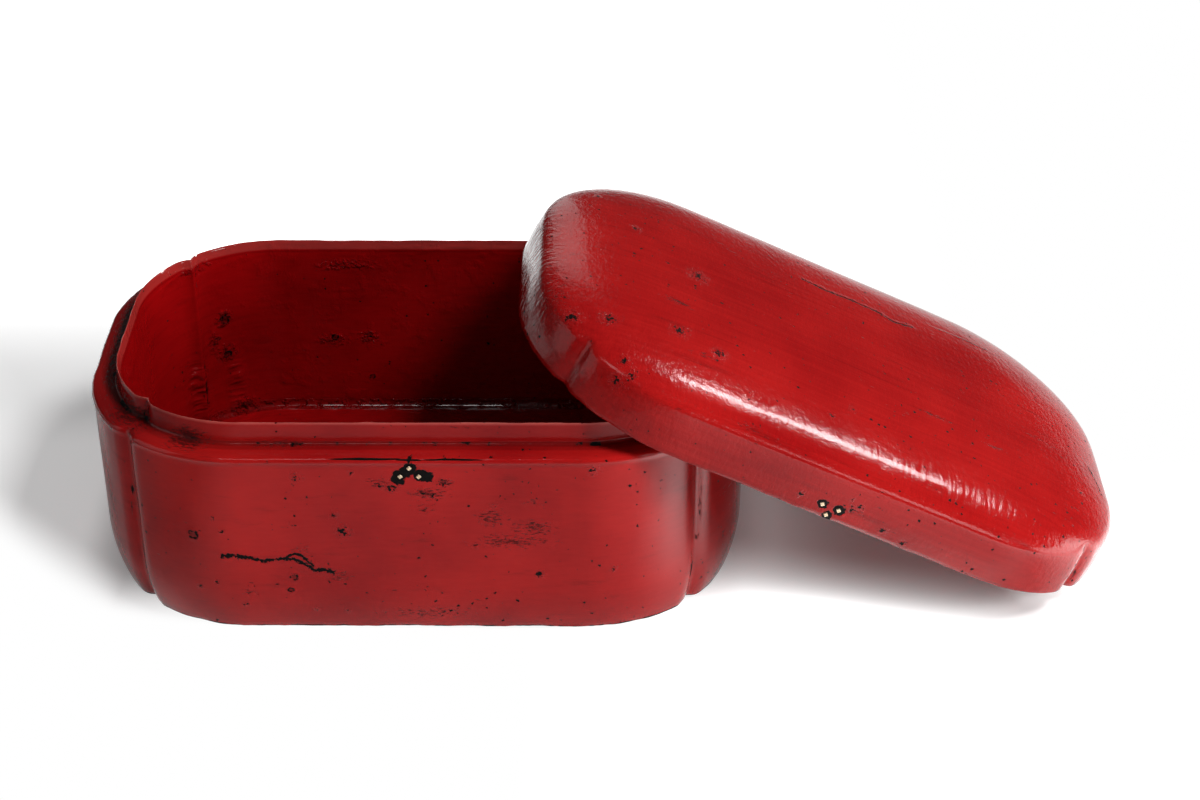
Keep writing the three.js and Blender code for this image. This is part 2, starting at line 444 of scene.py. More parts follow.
class SkinTree(GeometryTree):
    """Sweeps a section round the grooved outline and gives the skin its hand-made unevenness."""

    QUARTER_STEPS = 128
    MERGE_DISTANCE = 1e-7
    SWELL_WAVE = 60.0
    RIPPLE_WAVE = 14.0
    KNOCK_WAVE = 11.0
    KEPT = ("along", "travel", "edge", "crease", "thin", "groove_line", "material_index", "sharp_face")

    def __init__(self) -> None:
        """Writes the tree."""
        super().__init__("lacquered_skin")
        section = self.input("Section", "Geometry")
        swept = self._sweep(section)
        uneven = self._uneven(swept)
        placed = self.node(
            "GeometryNodeTransform",
            {},
            {
                "Geometry": uneven,
                "Translation": self.input("Location", "Vector"),
                "Rotation": self.input("Rotation", "Vector"),
            },
        )
        smooth = self.node("GeometryNodeSetShadeSmooth", {}, {"Geometry": placed})
        real = self.node("GeometryNodeRealizeInstances", {}, {"Geometry": smooth})
        outside = self.node(
            "GeometryNodeSetMaterial",
            {},
            {"Geometry": real, "Material": self.input("Outside", "Material")},
        )
        inside = self.node(
            "GeometryNodeSetMaterial",
            {},
            {
                "Geometry": outside,
                "Selection": self.math("GREATER_THAN", self.attribute("inside"), 0.5),
                "Material": self.input("Inside", "Material"),
            },
        )
        self.finish(inside)

    def _plan(self, radius: Wire, half_length: Wire, half_width: Wire) -> tuple[Wire, ...]:
        """Places the curve's points on a rounded rectangle, with one on each corner's diagonal.

        Args:
            radius: Corner radius.
            half_length: Half the length.
            half_width: Half the width.

        Returns:
            The point, the direction that faces out there, the distance along the outline from the
            middle of the back, and the distance from the nearest corner's diagonal.
        """
        turn = self.node("GeometryNodeInputIndex") / float(self.QUARTER_STEPS)
        quarter = self.math("FLOOR", turn)
        odd = self.math("FLOORED_MODULO", quarter, 2.0)
        forward = turn - quarter
        share = forward + odd * (1.0 - 2.0 * forward)
        side_x = 1.0 - 2.0 * self.math("GREATER_THAN", quarter, 1.5)
        side_y = 1.0 - 2.0 * self.math("LESS_THAN", abs(quarter - 1.5), 1.0)

        along_long = half_length - radius
        along_short = half_width - radius
        arc = radius * (math.pi / 2)
        diagonal = along_long + arc * 0.5
        whole = along_long + arc + along_short
        first_half = share.least(0.5) * 2.0 * diagonal
        second_half = (share - 0.5).most(0.0) * 2.0 * (whole - diagonal)
        travelled = first_half + second_half

        angle = ((travelled - along_long) / radius).most(0.0).least(math.pi / 2)
        sine = self.math("SINE", angle)
        cosine = self.math("COSINE", angle)
        x = travelled.least(along_long) + radius * sine
        y = along_short + radius * cosine - (travelled - along_long - arc).most(0.0)
        point = self.vector(x * side_x, y * side_y, 0.0)
        facing = self.vector(sine * side_x, cosine * side_y, 0.0)
        around = travelled * side_y + (1.0 - side_y) * whole
        return point, facing, around, abs(travelled - diagonal)

    def _sweep(self, section: Wire) -> Wire:
        """Sweeps the section round the outline.

        Args:
            section: Chain of edges with the section's values.

        Returns:
            The closed skin, before it is made uneven.
        """
        half_length = self.input("Half Length", "Float")
        half_width = self.input("Half Width", "Float")
        radius = self.input("Corner Radius", "Float")
        eased_radius = radius + self.input("Corner Ease", "Float")
        groove_reach = self.input("Groove Half Width", "Float")
        groove_depth = self.input("Groove Depth", "Float")

        path = self.node(
            "GeometryNodeCurvePrimitiveCircle",
            {"mode": "RADIUS"},
            {"Resolution": 4 * self.QUARTER_STEPS},
        )
        point, facing, around, off_diagonal = self._plan(radius, half_length, half_width)
        eased_point, eased_facing, _, _ = self._plan(eased_radius, half_length, half_width)
        reach = (1.0 - off_diagonal / groove_reach).most(0.0)
        path = self.store(path, "plan", point, "FLOAT_VECTOR")
        path = self.store(path, "facing", facing, "FLOAT_VECTOR")
        path = self.store(path, "eased_plan", eased_point, "FLOAT_VECTOR")
        path = self.store(path, "eased_facing", eased_facing, "FLOAT_VECTOR")
        path = self.store(path, "along", around)
        path = self.store(path, "groove_line", reach)

        profile = self.node("GeometryNodeMeshToCurve", {}, {"Mesh": section})
        skin = self.node("GeometryNodeCurveToMesh", {}, {"Curve": path, "Profile Curve": profile})
        cusp = self.attribute("groove_line") ** 2.0
        inset = self.attribute("inset") + cusp * groove_depth * self.attribute("groove")
        ring = self.attribute("plan", "FLOAT_VECTOR") - self.attribute("facing", "FLOAT_VECTOR") * inset
        eased_ring = (
            self.attribute("eased_plan", "FLOAT_VECTOR")
            - self.attribute("eased_facing", "FLOAT_VECTOR") * inset
        )
        flat = self.mix_vector(self.attribute("ease"), ring, eased_ring) * self.attribute("shrink")
        placed = self.vector(flat.part("X"), flat.part("Y"), self.attribute("height"))
        skin = self.node("GeometryNodeSetPosition", {}, {"Geometry": skin, "Position": placed})
        grooved = self.attribute("groove_line") * self.attribute("groove").step(0.0, 0.4)
        skin = self.store(skin, "groove_line", grooved)
        merging = {"Geometry": skin, "Distance": self.MERGE_DISTANCE}
        skin = self.node("GeometryNodeMergeByDistance", {}, merging)
        return self.node("GeometryNodeFlipFaces", {}, {"Mesh": skin})

    def _uneven(self, skin: Wire) -> Wire:
        """Sinks the skin by smooth noise: slow swells, finer ripples and knocked edges.

        Args:
            skin: The swept skin.

        Returns:
            The uneven skin.
        """
        seed = self.input("Seed", "Float")
        place = self.node("GeometryNodeInputPosition")

        def noise(wave: float, detail: float) -> Wire:
            """Noise with waves of a length in millimetres."""
            inputs = {"Vector": place, "W": seed, "Scale": PER_MM / wave, "Detail": detail}
            return self.node("ShaderNodeTexNoise", {"noise_dimensions": "4D"}, inputs)

        at_groove = self.attribute("groove_line").step(0.4, 1.0)
        knocked = self.attribute("edge") * (noise(self.KNOCK_WAVE, 2.0).step(0.3, 0.8) + at_groove)
        depth = (
            noise(self.SWELL_WAVE, 1.0) * self.input("Swell", "Float")
            + noise(self.RIPPLE_WAVE, 2.0) * self.input("Ripple", "Float")
            + knocked * self.input("Knocks", "Float")
        )
        offset = self.node("GeometryNodeInputNormal") * (0.0 - depth)
        return self.node("GeometryNodeSetPosition", {}, {"Geometry": skin, "Offset": offset})

    def make(self, name: str, section: Section, values: dict[str, Any]) -> bpy.types.Object:
        """Makes a piece from a section.

        Args:
            name: Name of the piece.
            section: Section to sweep.
            values: The tree's inputs.

        Returns:
            The piece, in the scene, with outward faces.
        """
        piece = bpy.data.objects.new(name, section.to_mesh(f"{name}_section"))
        bpy.context.scene.collection.objects.link(piece)
        self.bake(piece, values)
        shell = bmesh.new()
        shell.from_mesh(piece.data)
        bmesh.ops.recalc_face_normals(shell, faces=shell.faces)
        shell.to_mesh(piece.data)
        shell.free()
        for attribute in list(piece.data.attributes):
            if not (attribute.is_internal or attribute.is_required or attribute.name in self.KEPT):
                piece.data.attributes.remove(attribute)
        return piece


class BrushWay(Enum):
    """Ways that the lacquer was brushed on."""

    ROUND = "round the outline"
    LENGTHWISE = "along the length"


class Face(Enum):
    """Faces that a flaw may lie on, with the share of each distance that counts there."""

    FRONT = (1.0, 0.25, 1.0)
    TOP = (1.0, 1.0, 0.25)

    def flatten(self, place: Place) -> Place:
        """A place as it counts on this face."""
        return tuple(axis * share for axis, share in zip(place, self.value))


@dataclass(frozen=True)
class Crack:
    """A crack through the red coat, along points on the skin."""

    path: tuple[Place, ...]
    width: float
    face: Face = Face.FRONT


@dataclass(frozen=True)
class Spot:
    """A round flaw on one face of the skin."""

    centre: Place
    radius: float
    face: Face

    @classmethod
    def row(cls, face: Face, *spots: tuple[float, float, float, float]) -> tuple[Spot, ...]:
        """Makes spots on one face.

        Args:
            face: The face that they lie on.
            spots: Each one's centre and radius.

        Returns:
            The spots.
        """
        return tuple(cls((x, y, z), radius, face) for x, y, z, radius in spots)


@dataclass(frozen=True)
class Patch:
    """A patch of the skin that fades out at its reach."""

    centre: Place
    reach: Place
    strength: float = 1.0


@dataclass(frozen=True)
class Flaws:
    """Everything that age has done to one skin at a known place, in millimetres.

    Slits are clean narrow gaps, chips are ragged spots where the red coat has come off, and craters are
    burst blisters. The undercoat shows through bruises in streaks, and the coat has run and set in
    folds at wrinkles.
    """

    cracks: tuple[Crack, ...] = ()
    slits: tuple[Patch, ...] = ()
    chips: tuple[Spot, ...] = ()
    craters: tuple[Spot, ...] = ()
    bruises: tuple[Patch, ...] = ()
    wrinkles: tuple[Patch, ...] = ()
    nail_spots: tuple[Place, ...] = ()
    spot_radius: float = 3.0


@dataclass(frozen=True)
class Lacquer:
    """Red lacquer brushed over black, worn through in places.

    Heights are in millimetres, folds in waves per millimetre. Stroke, smoke, crease shade and speckle
    are strengths, and crease shade is painted shade that darkens the creases. Origin and tilt give the
    frame that the flaws are placed in.
    """

    name: str
    deep: Colour
    bright: Colour
    undercoat: Colour = (0.003, 0.002, 0.002)
    # Colour of the painted highlight: a paler red on the lip's crest and bevel, where light would
    # glint.
    thin: Colour = (0.66, 0.17, 0.14)
    roughness: float = 0.15
    ior: float = 1.2
    coat: float = 0.1
    coat_roughness: float = 0.05
    speckle: float = 1.1
    stroke: float = 0.22
    smoke: float = 0.3
    crease_shade: float = 0.55
    brush_height: float = 0.015
    peel_height: float = 0.09
    blister_height: float = 0.0
    ridge_height: float = 0.0
    folds: Place = (0.06, 0.06, 0.26)
    brush: BrushWay = BrushWay.ROUND
    origin: Place = (0.0, 0.0, 0.0)
    tilt: float = 0.0
    flaws: Flaws = Flaws()

    def material(self) -> bpy.types.Material:
        """Makes the material."""
        return LacquerGraph(self).material


class LacquerGraph(Graph):
    """Writes one lacquer finish as shader nodes.

    Places and heights inside it are in millimetres, and noise has waves per millimetre. Shades are
    shares of the undercoat's black. Ragged values say how far noise moves a flaw's outline, in
    millimetres, or for chips in shares of the radius.
    """

    SPECK_DEPTH = 0.08
    GROOVE_DEPTH = 0.06
    CRACK_DEPTH = 0.2
    CRACK_LIP = 0.1
    SLIT_DEPTH = 0.3
    CHIP_DEPTH = 0.2
    CHIP_RIM = 0.12
    CRATER_DEPTH = 0.22
    CRATER_RIM = 0.14
    CRATER_SHADE = 0.45
    BRUISE_DEPTH = 0.1
    BRUISE_SHADE = 0.75
    BRUISE_SWELLING = 1.2
    COVE_LUMPS = 4.5
    FOLD_HEIGHT = 1.7
    NAIL_SPOT_DEPTH = 0.2
    RAGGED = 2.4
    RAGGED_CHIP = 6.0
    RIDGED_END = (-146.0, -157.0)

    def __init__(self, finish: Lacquer) -> None:
        """Writes the nodes of a finish.

        Args:
            finish: The finish.
        """
        self.material = bpy.data.materials.new(finish.name)
        self.material.use_nodes = True
        super().__init__(self.material.node_tree)
        self.finish = finish
        self.place = self._place()
        self.brush = self._brush()
        self.worn, self.relief = self._wear()
        self._add_flaws()
        shader = self.node(
            "ShaderNodeBsdfPrincipled",
            {},
            {
                "Base Color": self.mix_colour(self.worn, self._red(), finish.undercoat),
                "Roughness": self._roughness(),
                "Normal": self._normal(),
                "IOR": finish.ior,
                "Coat Weight": self._coat(),
                "Coat Roughness": finish.coat_roughness,
            },
        )
        self.node("ShaderNodeOutputMaterial", {}, {"Surface": shader})

    def _place(self) -> Wire:
        """Place on the piece in its own frame.

        Returns:
            The place in millimetres.
        """
        found = self.node("ShaderNodeTexCoord", {}, {}, "Object")
        inputs = {
            "Vector": found,
            "Location": self.finish.origin,
            "Rotation": (0.0, self.finish.tilt, 0.0),
        }
        return self.node("ShaderNodeMapping", {"vector_type": "TEXTURE"}, inputs) * PER_MM

    def _brush(self) -> Wire:
        """Place along and across the brush strokes.

        Returns:
            The place in millimetres.
        """
        if self.finish.brush is BrushWay.LENGTHWISE:
            return self.place
        along = self._mark("along") * PER_MM
        return self.vector(along, self._mark("travel") * PER_MM, self.place.part("X") * 0.2)

    def _mark(self, name: str) -> Wire:
        """One of the skin's own marks."""
        return self.node("ShaderNodeAttribute", {"attribute_name": name}, {}, "Fac")

    def _red(self) -> Wire:
        """The red coat: cloudy, with fine strokes and smoky ones, painted shade in the creases and a
        painted highlight on the lip's crest and bevel.

        Returns:
            Its colour.
        """
        cloud = self.noise(self.place, 0.018, 2.0)
        streak = self.noise(self.brush * (0.012, 0.5, 0.5), 1.0, 4.0, 0.6)
        tone = (cloud + self.finish.stroke * (streak - cloud)).step(0.2, 0.8)
        red = self.mix_colour(tone, self.finish.deep, self.finish.bright)
        # Painted highlight: a paler red where the skin is marked, on the lip's crest and bevel.
        red = self.mix_colour(self._mark("thin"), red, self.finish.thin)
        smoke = self.noise(self.brush * (0.014, 0.2, 0.2) + 40.0, 1.0, 5.0, 0.65).step(0.56, 0.8)
        # Painted shade: the colour darkens towards the undercoat along the creases, over the ledge, on
        # the lip's outer face and in the cove.
        crease_shade = self._mark("crease").least(1.0) * self.finish.crease_shade
        smoke_and_shade = (smoke * self.finish.smoke).most(crease_shade)
        return self.mix_colour(smoke_and_shade, red, self.finish.undercoat)

    def _coat(self) -> Wire:
        """Clear coat, which is lost where the red is worn and in spots along the creases."""
        dull = self.noise(self.place, 0.13, 2.0).step(0.44, 0.54) * self._mark("crease").step(0.3, 0.6)
        return self.finish.coat * (1.0 - self.worn) * (1.0 - 0.95 * dull)

    def _roughness(self) -> Wire:
        """Gloss, which varies with the strokes and is lost where the red is worn.

        Returns:
            The roughness.
        """
        streak = self.noise(self.brush * (0.015, 0.3, 0.3), 1.0, 2.0) - 0.5
        cloud = self.noise(self.place, 0.03, 2.0) - 0.5
        return self.finish.roughness + 0.08 * (streak + cloud) + 0.6 * self.worn

    def _normal(self) -> Wire:
        """Relief too fine for the mesh: brush marks, orange peel, blisters and ridges.

        Returns:
            The normal.
        """
        finish = self.finish
        fine = self.noise(self.brush * (0.03, 0.8, 0.8), 1.0, 3.0, 0.6)
        peel = self.noise(self.place * (0.42, 0.24, 0.24), 1.0, 3.0, 0.6)
        height = fine * finish.brush_height + peel * finish.peel_height + self.relief
        if finish.blister_height:
            swollen = self.noise(self.place, 0.11, 3.0, 0.6).step(0.5, 0.75)
            lumps = self.noise(self.place, 0.21, 2.0).step(0.4, 0.62)
            in_cove = self._mark("crease").step(0.4, 0.7) * self.COVE_LUMPS
            height = height + (swollen + lumps * in_cove) * finish.blister_height
        if finish.ridge_height:
            ridges = self.noise(self.place * (0.2, 0.34, 0.16), 1.0, 2.0).step(0.42, 0.66)
            at_end = self.place.part("X").step(*self.RIDGED_END)
            height = height + ridges * at_end * finish.ridge_height
        return self.node("ShaderNodeBump", {}, {"Distance": MM, "Height": height})

    def _specks(self) -> Wire:
        """Pinholes and flecks of undercoat, in drifts.

        Returns:
            1 where they are.
        """
        shaken = self.node("ShaderNodeTexNoise", {}, {"Vector": self.place, "Scale": 0.9}, "Color")
        cells = {"Vector": self.place + shaken * 2.0, "Scale": 0.28}
        distance = self.node("ShaderNodeTexVoronoi", {}, cells, "Distance")
        lot = self.node("ShaderNodeTexVoronoi", {}, cells, "Color").part("X")
        drift = self.noise(self.place, 0.025, 2.0)
        size = (lot - (1.0 - 0.5 * self.finish.speckle)).most(0.0) * drift.step(0.3, 0.6) * 0.4
        pinholes = distance.step(size + 0.03, size)
        dashes = self.noise(self.brush * (0.12, 0.5, 0.5) + 7.0, 1.0, 3.0, 0.6)
        torn = self.noise(self.brush * (0.02, 0.05, 0.05) + 3.0, 1.0, 2.0)
        flecks = dashes.step(0.67, 0.73) * torn.step(0.52, 0.66) * self.finish.speckle
        return (pinholes * size.step(0.0, 0.02)).most(flecks)

    def _nearest(self, distances: Sequence[Wire]) -> Wire:
        """The least of several distances.

        Args:
            distances: The distances.

        Returns:
            The least one.
        """
        nearest = distances[0]
        for distance in distances[1:]:
            nearest = nearest.least(distance)
        return nearest

    def _to_path(self, place: Wire, path: Sequence[Place]) -> Wire:
        """Distance from a path of straight runs.

        Args:
            place: Where the distance is wanted.
            path: Corners of the path.

        Returns:
            The distance.
        """
        distances = []
        for start, end in zip(path, path[1:]):
            run = Vector(end) - Vector(start)
            offset = place - start
            share = self.dot(offset, tuple(run / run.length_squared)).most(0.0).least(1.0)
            distances.append(self.length(offset - share * tuple(run)))
        return self._nearest(distances)

    def _to_spots(self, spots: Sequence[Spot]) -> Wire:
        """Distance from the nearest of several spots, in shares of its radius.

        Args:
            spots: The spots.

        Returns:
            The distance.
        """
        distances = [
            self.length(self.on_face[spot.face] - spot.face.flatten(spot.centre)) / spot.radius
            for spot in spots
        ]
        return self._nearest(distances)

    def _patches(self, patches: Sequence[Patch]) -> Wire:
        """How deep in the nearest patch a place is.

        Args:
            patches: The patches.

        Returns:
            0 outside them, and the patch's strength at its middle.
        """
        found = None
        for patch in patches:
            scale = tuple(1.0 / reach for reach in patch.reach)
            off = self.length((self.place - patch.centre) * scale)
            depth = (1.0 - off).most(0.0) * patch.strength
            found = depth if found is None else found.most(depth)
        return found

    def _add_flaws(self) -> None:
        """Adds the flaws whose places are known."""
        jitter = {"Vector": self.place, "Scale": 0.35, "Detail": 3.0}
        shaken = self.node("ShaderNodeTexNoise", {}, jitter, "Color") - 0.5
        ragged = self.place + shaken * self.RAGGED
        self.on_face = {face: ragged * face.value for face in Face}
        self.chipped = self.noise(self.place, 0.7, 3.0, 0.6) - 0.5
        flaws = self.finish.flaws
        kinds = (
            (flaws.cracks, self._cracks),
            (flaws.slits, self._slits),
            (flaws.chips, self._chips),
            (flaws.craters, self._craters),
            (flaws.bruises, self._bruises),
            (flaws.wrinkles, self._wrinkles),
            (flaws.nail_spots, self._nail_spots),
        )
        for found, add in kinds:
            if found:
                add(found)

    def _bare(self, bare: Wire, depth: float) -> None:
        """Bares the undercoat, which lies deeper than the red."""
        self.worn = self.worn.most(bare)
        self.relief = self.relief - bare * depth

    def _cracks(self, cracks: Sequence[Crack]) -> None:
        """Adds cracks, whose lips stand up.

        Args:
            cracks: The cracks.
        """
        for crack in cracks:
            width = crack.width
            corners = [crack.face.flatten(corner) for corner in crack.path]
            off = self._to_path(self.on_face[crack.face], corners)
            off = off + self.chipped * (width * self.RAGGED)
            self.relief = self.relief + off.step(width * 3.0, width) * self.CRACK_LIP
            self._bare(off.step(width * 0.75, width * 0.45), self.CRACK_DEPTH)

    def _slits(self, slits: Sequence[Patch]) -> None:
        """Adds slits."""
        self._bare(self._patches(slits).step(0.0, 0.2), self.SLIT_DEPTH)

    def _chips(self, chips: Sequence[Spot]) -> None:
        """Adds chips, round which the coat has lifted.

        Args:
            chips: The chips.
        """
        off = self._to_spots(chips) + self.chipped * self.RAGGED_CHIP
        self.relief = self.relief + off.step(2.0, 1.1) * self.CHIP_RIM
        self._bare(off.step(0.8, 0.5), self.CHIP_DEPTH)

    def _craters(self, craters: Sequence[Spot]) -> None:
        """Adds burst blisters: a broken black ring inside a raised rim.

        Args:
            craters: The burst blisters.
        """
        off = self._to_spots(craters)
        ring = off.step(0.35, 0.6) * off.step(1.2, 0.95) * self.chipped.step(-0.1, 0.02)
        self.worn = self.worn.most(ring).most(off.step(1.0, 0.6) * self.CRATER_SHADE)
        rim = off.step(2.0, 1.1) * self.CRATER_RIM
        self.relief = self.relief + rim - off.step(1.0, 0.4) * self.CRATER_DEPTH

    def _bruises(self, bruises: Sequence[Patch]) -> None:
        """Adds bruises, which are swollen too where the coat blisters.

        Args:
            bruises: The bruises.
        """
        patch = self._patches(bruises)
        streak = self.noise(self.brush * (0.32, 1.1, 1.1) + 11.0, 1.0, 4.0, 0.7)
        torn = (streak + patch * 0.22).step(0.64, 0.72) * patch.step(0.0, 0.15)
        self.worn = self.worn.most(torn * self.BRUISE_SHADE)
        self.relief = self.relief - torn * self.BRUISE_DEPTH
        if self.finish.blister_height:
            swollen = self.noise(self.place + 5.0, 0.42, 2.0).step(0.45, 0.65)
            self.relief = self.relief + swollen * patch.step(0.1, 0.5) * self.BRUISE_SWELLING

    def _wrinkles(self, wrinkles: Sequence[Patch]) -> None:
        """Adds the folds of a coat that has run.

        Args:
            wrinkles: Where it has run.
        """
        folds = self.noise(self.place * self.finish.folds, 1.0, 1.0).step(0.25, 0.75)
        depth = self._patches(wrinkles).step(0.0, 0.7) * self.FOLD_HEIGHT
        self.relief = self.relief + folds * depth

    def _nail_spots(self, spots: Sequence[Place]) -> None:
        """Adds the black spots round the nails.

        Args:
            spots: Their centres.
        """
        face = Face.FRONT
        distances = [self.length(self.on_face[face] - face.flatten(spot)) for spot in spots]
        off = self._nearest(distances) + self.chipped * self.RAGGED
        radius = self.finish.flaws.spot_radius
        self._bare(off.step(radius + 0.25, radius - 0.25), self.NAIL_SPOT_DEPTH)

    def _wear(self) -> tuple[Wire, Wire]:
        """Where specks, edges, creases and grooves show the undercoat, and how deep that lies.

        Returns:
            How far the undercoat shows, and the height there.
        """
        patchy = self.noise(self.place, 0.12, 4.0, 0.6)
        broken = self.noise(self.place * (1.0, 1.0, 0.35), 0.2, 3.0, 0.6)
        specks = self._specks()
        edge = (self._mark("edge") * patchy).step(0.52, 0.6)
        crease = (self._mark("crease") * patchy).step(0.54, 0.62)
        line = self._mark("groove_line")
        groove = line.step(0.6, 0.8) * line.step(1.0, 0.9) * broken.step(0.58, 0.66)
        worn = specks.most(edge).most(crease).most(groove)
        return worn, (specks + edge) * -self.SPECK_DEPTH - groove * self.GROOVE_DEPTH


@dataclass(frozen=True)
class Brass:
    """Pale worn brass of the nail stubs, with a fine grain."""

    name: str = "nail_brass"
    bare: Colour = (0.86, 0.7, 0.5)
    dull: Colour = (0.6, 0.43, 0.26)
    metallic: float = 0.35
    roughness: float = 0.35
    grain_waves: float = 1.2
    grain_height: float = 0.1

    def material(self) -> bpy.types.Material:
        """Makes the material.

        Returns:
            The material.
        """
        made = bpy.data.materials.new(self.name)
        made.use_nodes = True
        graph = Graph(made.node_tree)
        place = graph.node("ShaderNodeTexCoord", {}, {}, "Object") * PER_MM
        grain = graph.noise(place, self.grain_waves, 3.0, 0.6)
        relief = {"Distance": MM, "Height": grain * self.grain_height}
        shader = graph.node(
            "ShaderNodeBsdfPrincipled",
            {},
            {
                "Base Color": graph.mix_colour(grain.step(0.35, 0.65), self.dull, self.bare),
                "Metallic": self.metallic,
                "Roughness": self.roughness + 0.2 * grain,
                "Normal": graph.node("ShaderNodeBump", {}, relief),
            },
        )
        graph.node("ShaderNodeOutputMaterial", {}, {"Surface": shader})
        return made


@dataclass
class BoxBody:
    """The box: floor, walls with their foot, the ledge and the lip that locates the lid."""

    outline: Outline
    ledge_height: float = 102.5
    bead_overhang: float = 0.7
    bead_height: float = 4.5
    foot_inset: float = 5.4
    foot_height: float = 29.0
    floor_height: float = 11.5
    lip_height: float = 11.0
    lip_base_inset: float = 12.3
    lip_thickness: float = 2.6
    lip_bevel_depth: float = 1.4
    lip_bevel_height: float = 6.0
    lip_seam_depth: float = 0.15
    lip_seam: Point = (-0.3, 0.4)
    lip_edge_radius: float = 0.55
    wall_thickness: float = 15.8
    cove_radius: float = 3.4
    crease_radius: float = 1.2
    ledge_flat: float = 8.0
    ledge_fall: float = 0.6
    edge_radius: float = 3.0
    sole_radius: float = 1.4
    sole_edge: float = 2.0
    foot_steps: int = 24
    middle_inset: float = 60.0
    middle_steps: int = 8
    edge_wear: float = 0.8
    foot_wear: float = 1.1
    sole_wear: float = 1.2
    crest_thin: float = 0.6

    NODES = (
        "bottom_board",
        *(f"body_{side}_wall" for side in ("front", "back", "left", "right")),
        *(f"lip_{side}" for side in ("front", "back", "left", "right")),
    )

    def section(self) -> Section:
        """Section from the middle of the floor, over the lip, to the middle of the underside.

        Returns:
            The section.
        """
        made = Section()
        for step in range(self.middle_steps + 1):
            shrink = step / self.middle_steps
            made.add(self.middle_inset, self.floor_height, shrink=shrink, groove=0.0, inside=1.0)
        wall = self.wall_thickness
        cove = (wall + self.cove_radius, self.floor_height + self.cove_radius)
        made.line(cove[0], self.floor_height, spacing=3.5, inside=1.0)
        # The cove's crease mark also darkens its colour: painted shade in the corner, besides worn
        # spots.
        made.arc(cove, self.cove_radius, (-90.0, -180.0), steps=8, inside=1.0, crease=0.7)
        self._lip(made)
        # Crease marks on the lip's outer face, in the crease and over the ledge darken the colour:
        # painted shade.
        crease = (self.lip_base_inset - self.crease_radius, self.ledge_height + self.crease_radius)
        made.line(self.lip_base_inset, crease[1], spacing=1.5, crease=0.3)
        made.arc(crease, self.crease_radius, (0.0, -90.0), steps=5, crease=1.0)
        made.line(self.ledge_flat, self.ledge_height, spacing=1.3, crease=0.6)
        rim = self.ledge_height - self.ledge_fall
        made.line(self.edge_radius, rim, spacing=1.3, crease=0.1)
        edge = (self.edge_radius, rim - self.edge_radius)
        made.arc(edge, self.edge_radius, (90.0, 180.0), steps=8, edge=self.edge_wear)
        made.line(self.bead_overhang, self.ledge_height - self.bead_height, spacing=1.0)
        made.line(self.bead_overhang, self.foot_height, spacing=2.3)
        self._foot(made)
        made.line(self.middle_inset, 0.0, spacing=5.0, groove=0.0)
        for step in range(1, self.middle_steps + 1):
            shrink = 1.0 - step / self.middle_steps
            made.add(self.middle_inset, 0.0, shrink=shrink, groove=0.0)
        return made

    def _lip(self, section: Section) -> None:
        """Adds the inner wall, the lip's bevel inside and its narrow crest to a section.

        Args:
            section: Section that ends at the cove.
        """
        wall = self.wall_thickness
        top = self.ledge_height + self.lip_height
        radius = self.lip_edge_radius
        bevel = top - self.lip_bevel_height
        # The crest and the bevel below it get a painted highlight, a paler red where light would glint.
        crest = {"edge": self.edge_wear, "thin": self.crest_thin}
        section.line(wall, bevel - 1.0, spacing=2.4, inside=1.0)
        # A real shallow seam, whose crease mark darkens it with a line of painted shade under the
        # bevel.
        section.add(wall - self.lip_seam_depth, bevel + self.lip_seam[0], inside=1.0, crease=0.35)
        section.add(wall, bevel + self.lip_seam[1], inside=1.0)
        inner = (wall - self.lip_bevel_depth - radius, top - radius)
        section.line(inner[0] + radius, inner[1], spacing=1.2, inside=1.0, thin=0.12)
        section.arc(inner, radius, (0.0, 90.0), steps=3, inside=1.0, **crest)
        outer = (wall - self.lip_thickness + radius, top - radius)
        section.line(outer[0], top, spacing=0.5, **crest)
        section.arc(outer, radius, (90.0, 180.0), steps=3, edge=self.edge_wear, thin=0.4)

    def _foot(self, section: Section) -> None:
        """Adds the rounded foot and the sole's edge to a section.

        Args:
            section: Section that ends above the foot.
        """
        for step in range(1, self.foot_steps + 1):
            fall = (self.foot_height - self.sole_radius) * step / self.foot_steps
            height = self.foot_height - fall
            share = fall / self.foot_height
            inset = self.bead_overhang + self.foot_inset * share * share
            section.add(inset, height, edge=self.foot_wear if height < self.sole_edge else 0.0)
        sole = (section.points[-1].inset + self.sole_radius, self.sole_radius)
        section.arc(sole, self.sole_radius, (180.0, 270.0), steps=5, edge=self.sole_wear)

    def build(self, tree: SkinTree, outside: Lacquer, inside: Lacquer) -> bpy.types.Object:
        """Builds and dresses the box.

        Args:
            tree: Tree that sweeps the section.
            outside: Finish of the outside.
            inside: Finish of the inside.

        Returns:
            The piece, riding on the box.
        """
        values = skin_values(self.outline, outside, inside)
        piece = tree.make("box_body", self.section(), values)
        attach(piece, "box")
        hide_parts(*self.NODES)
        return piece


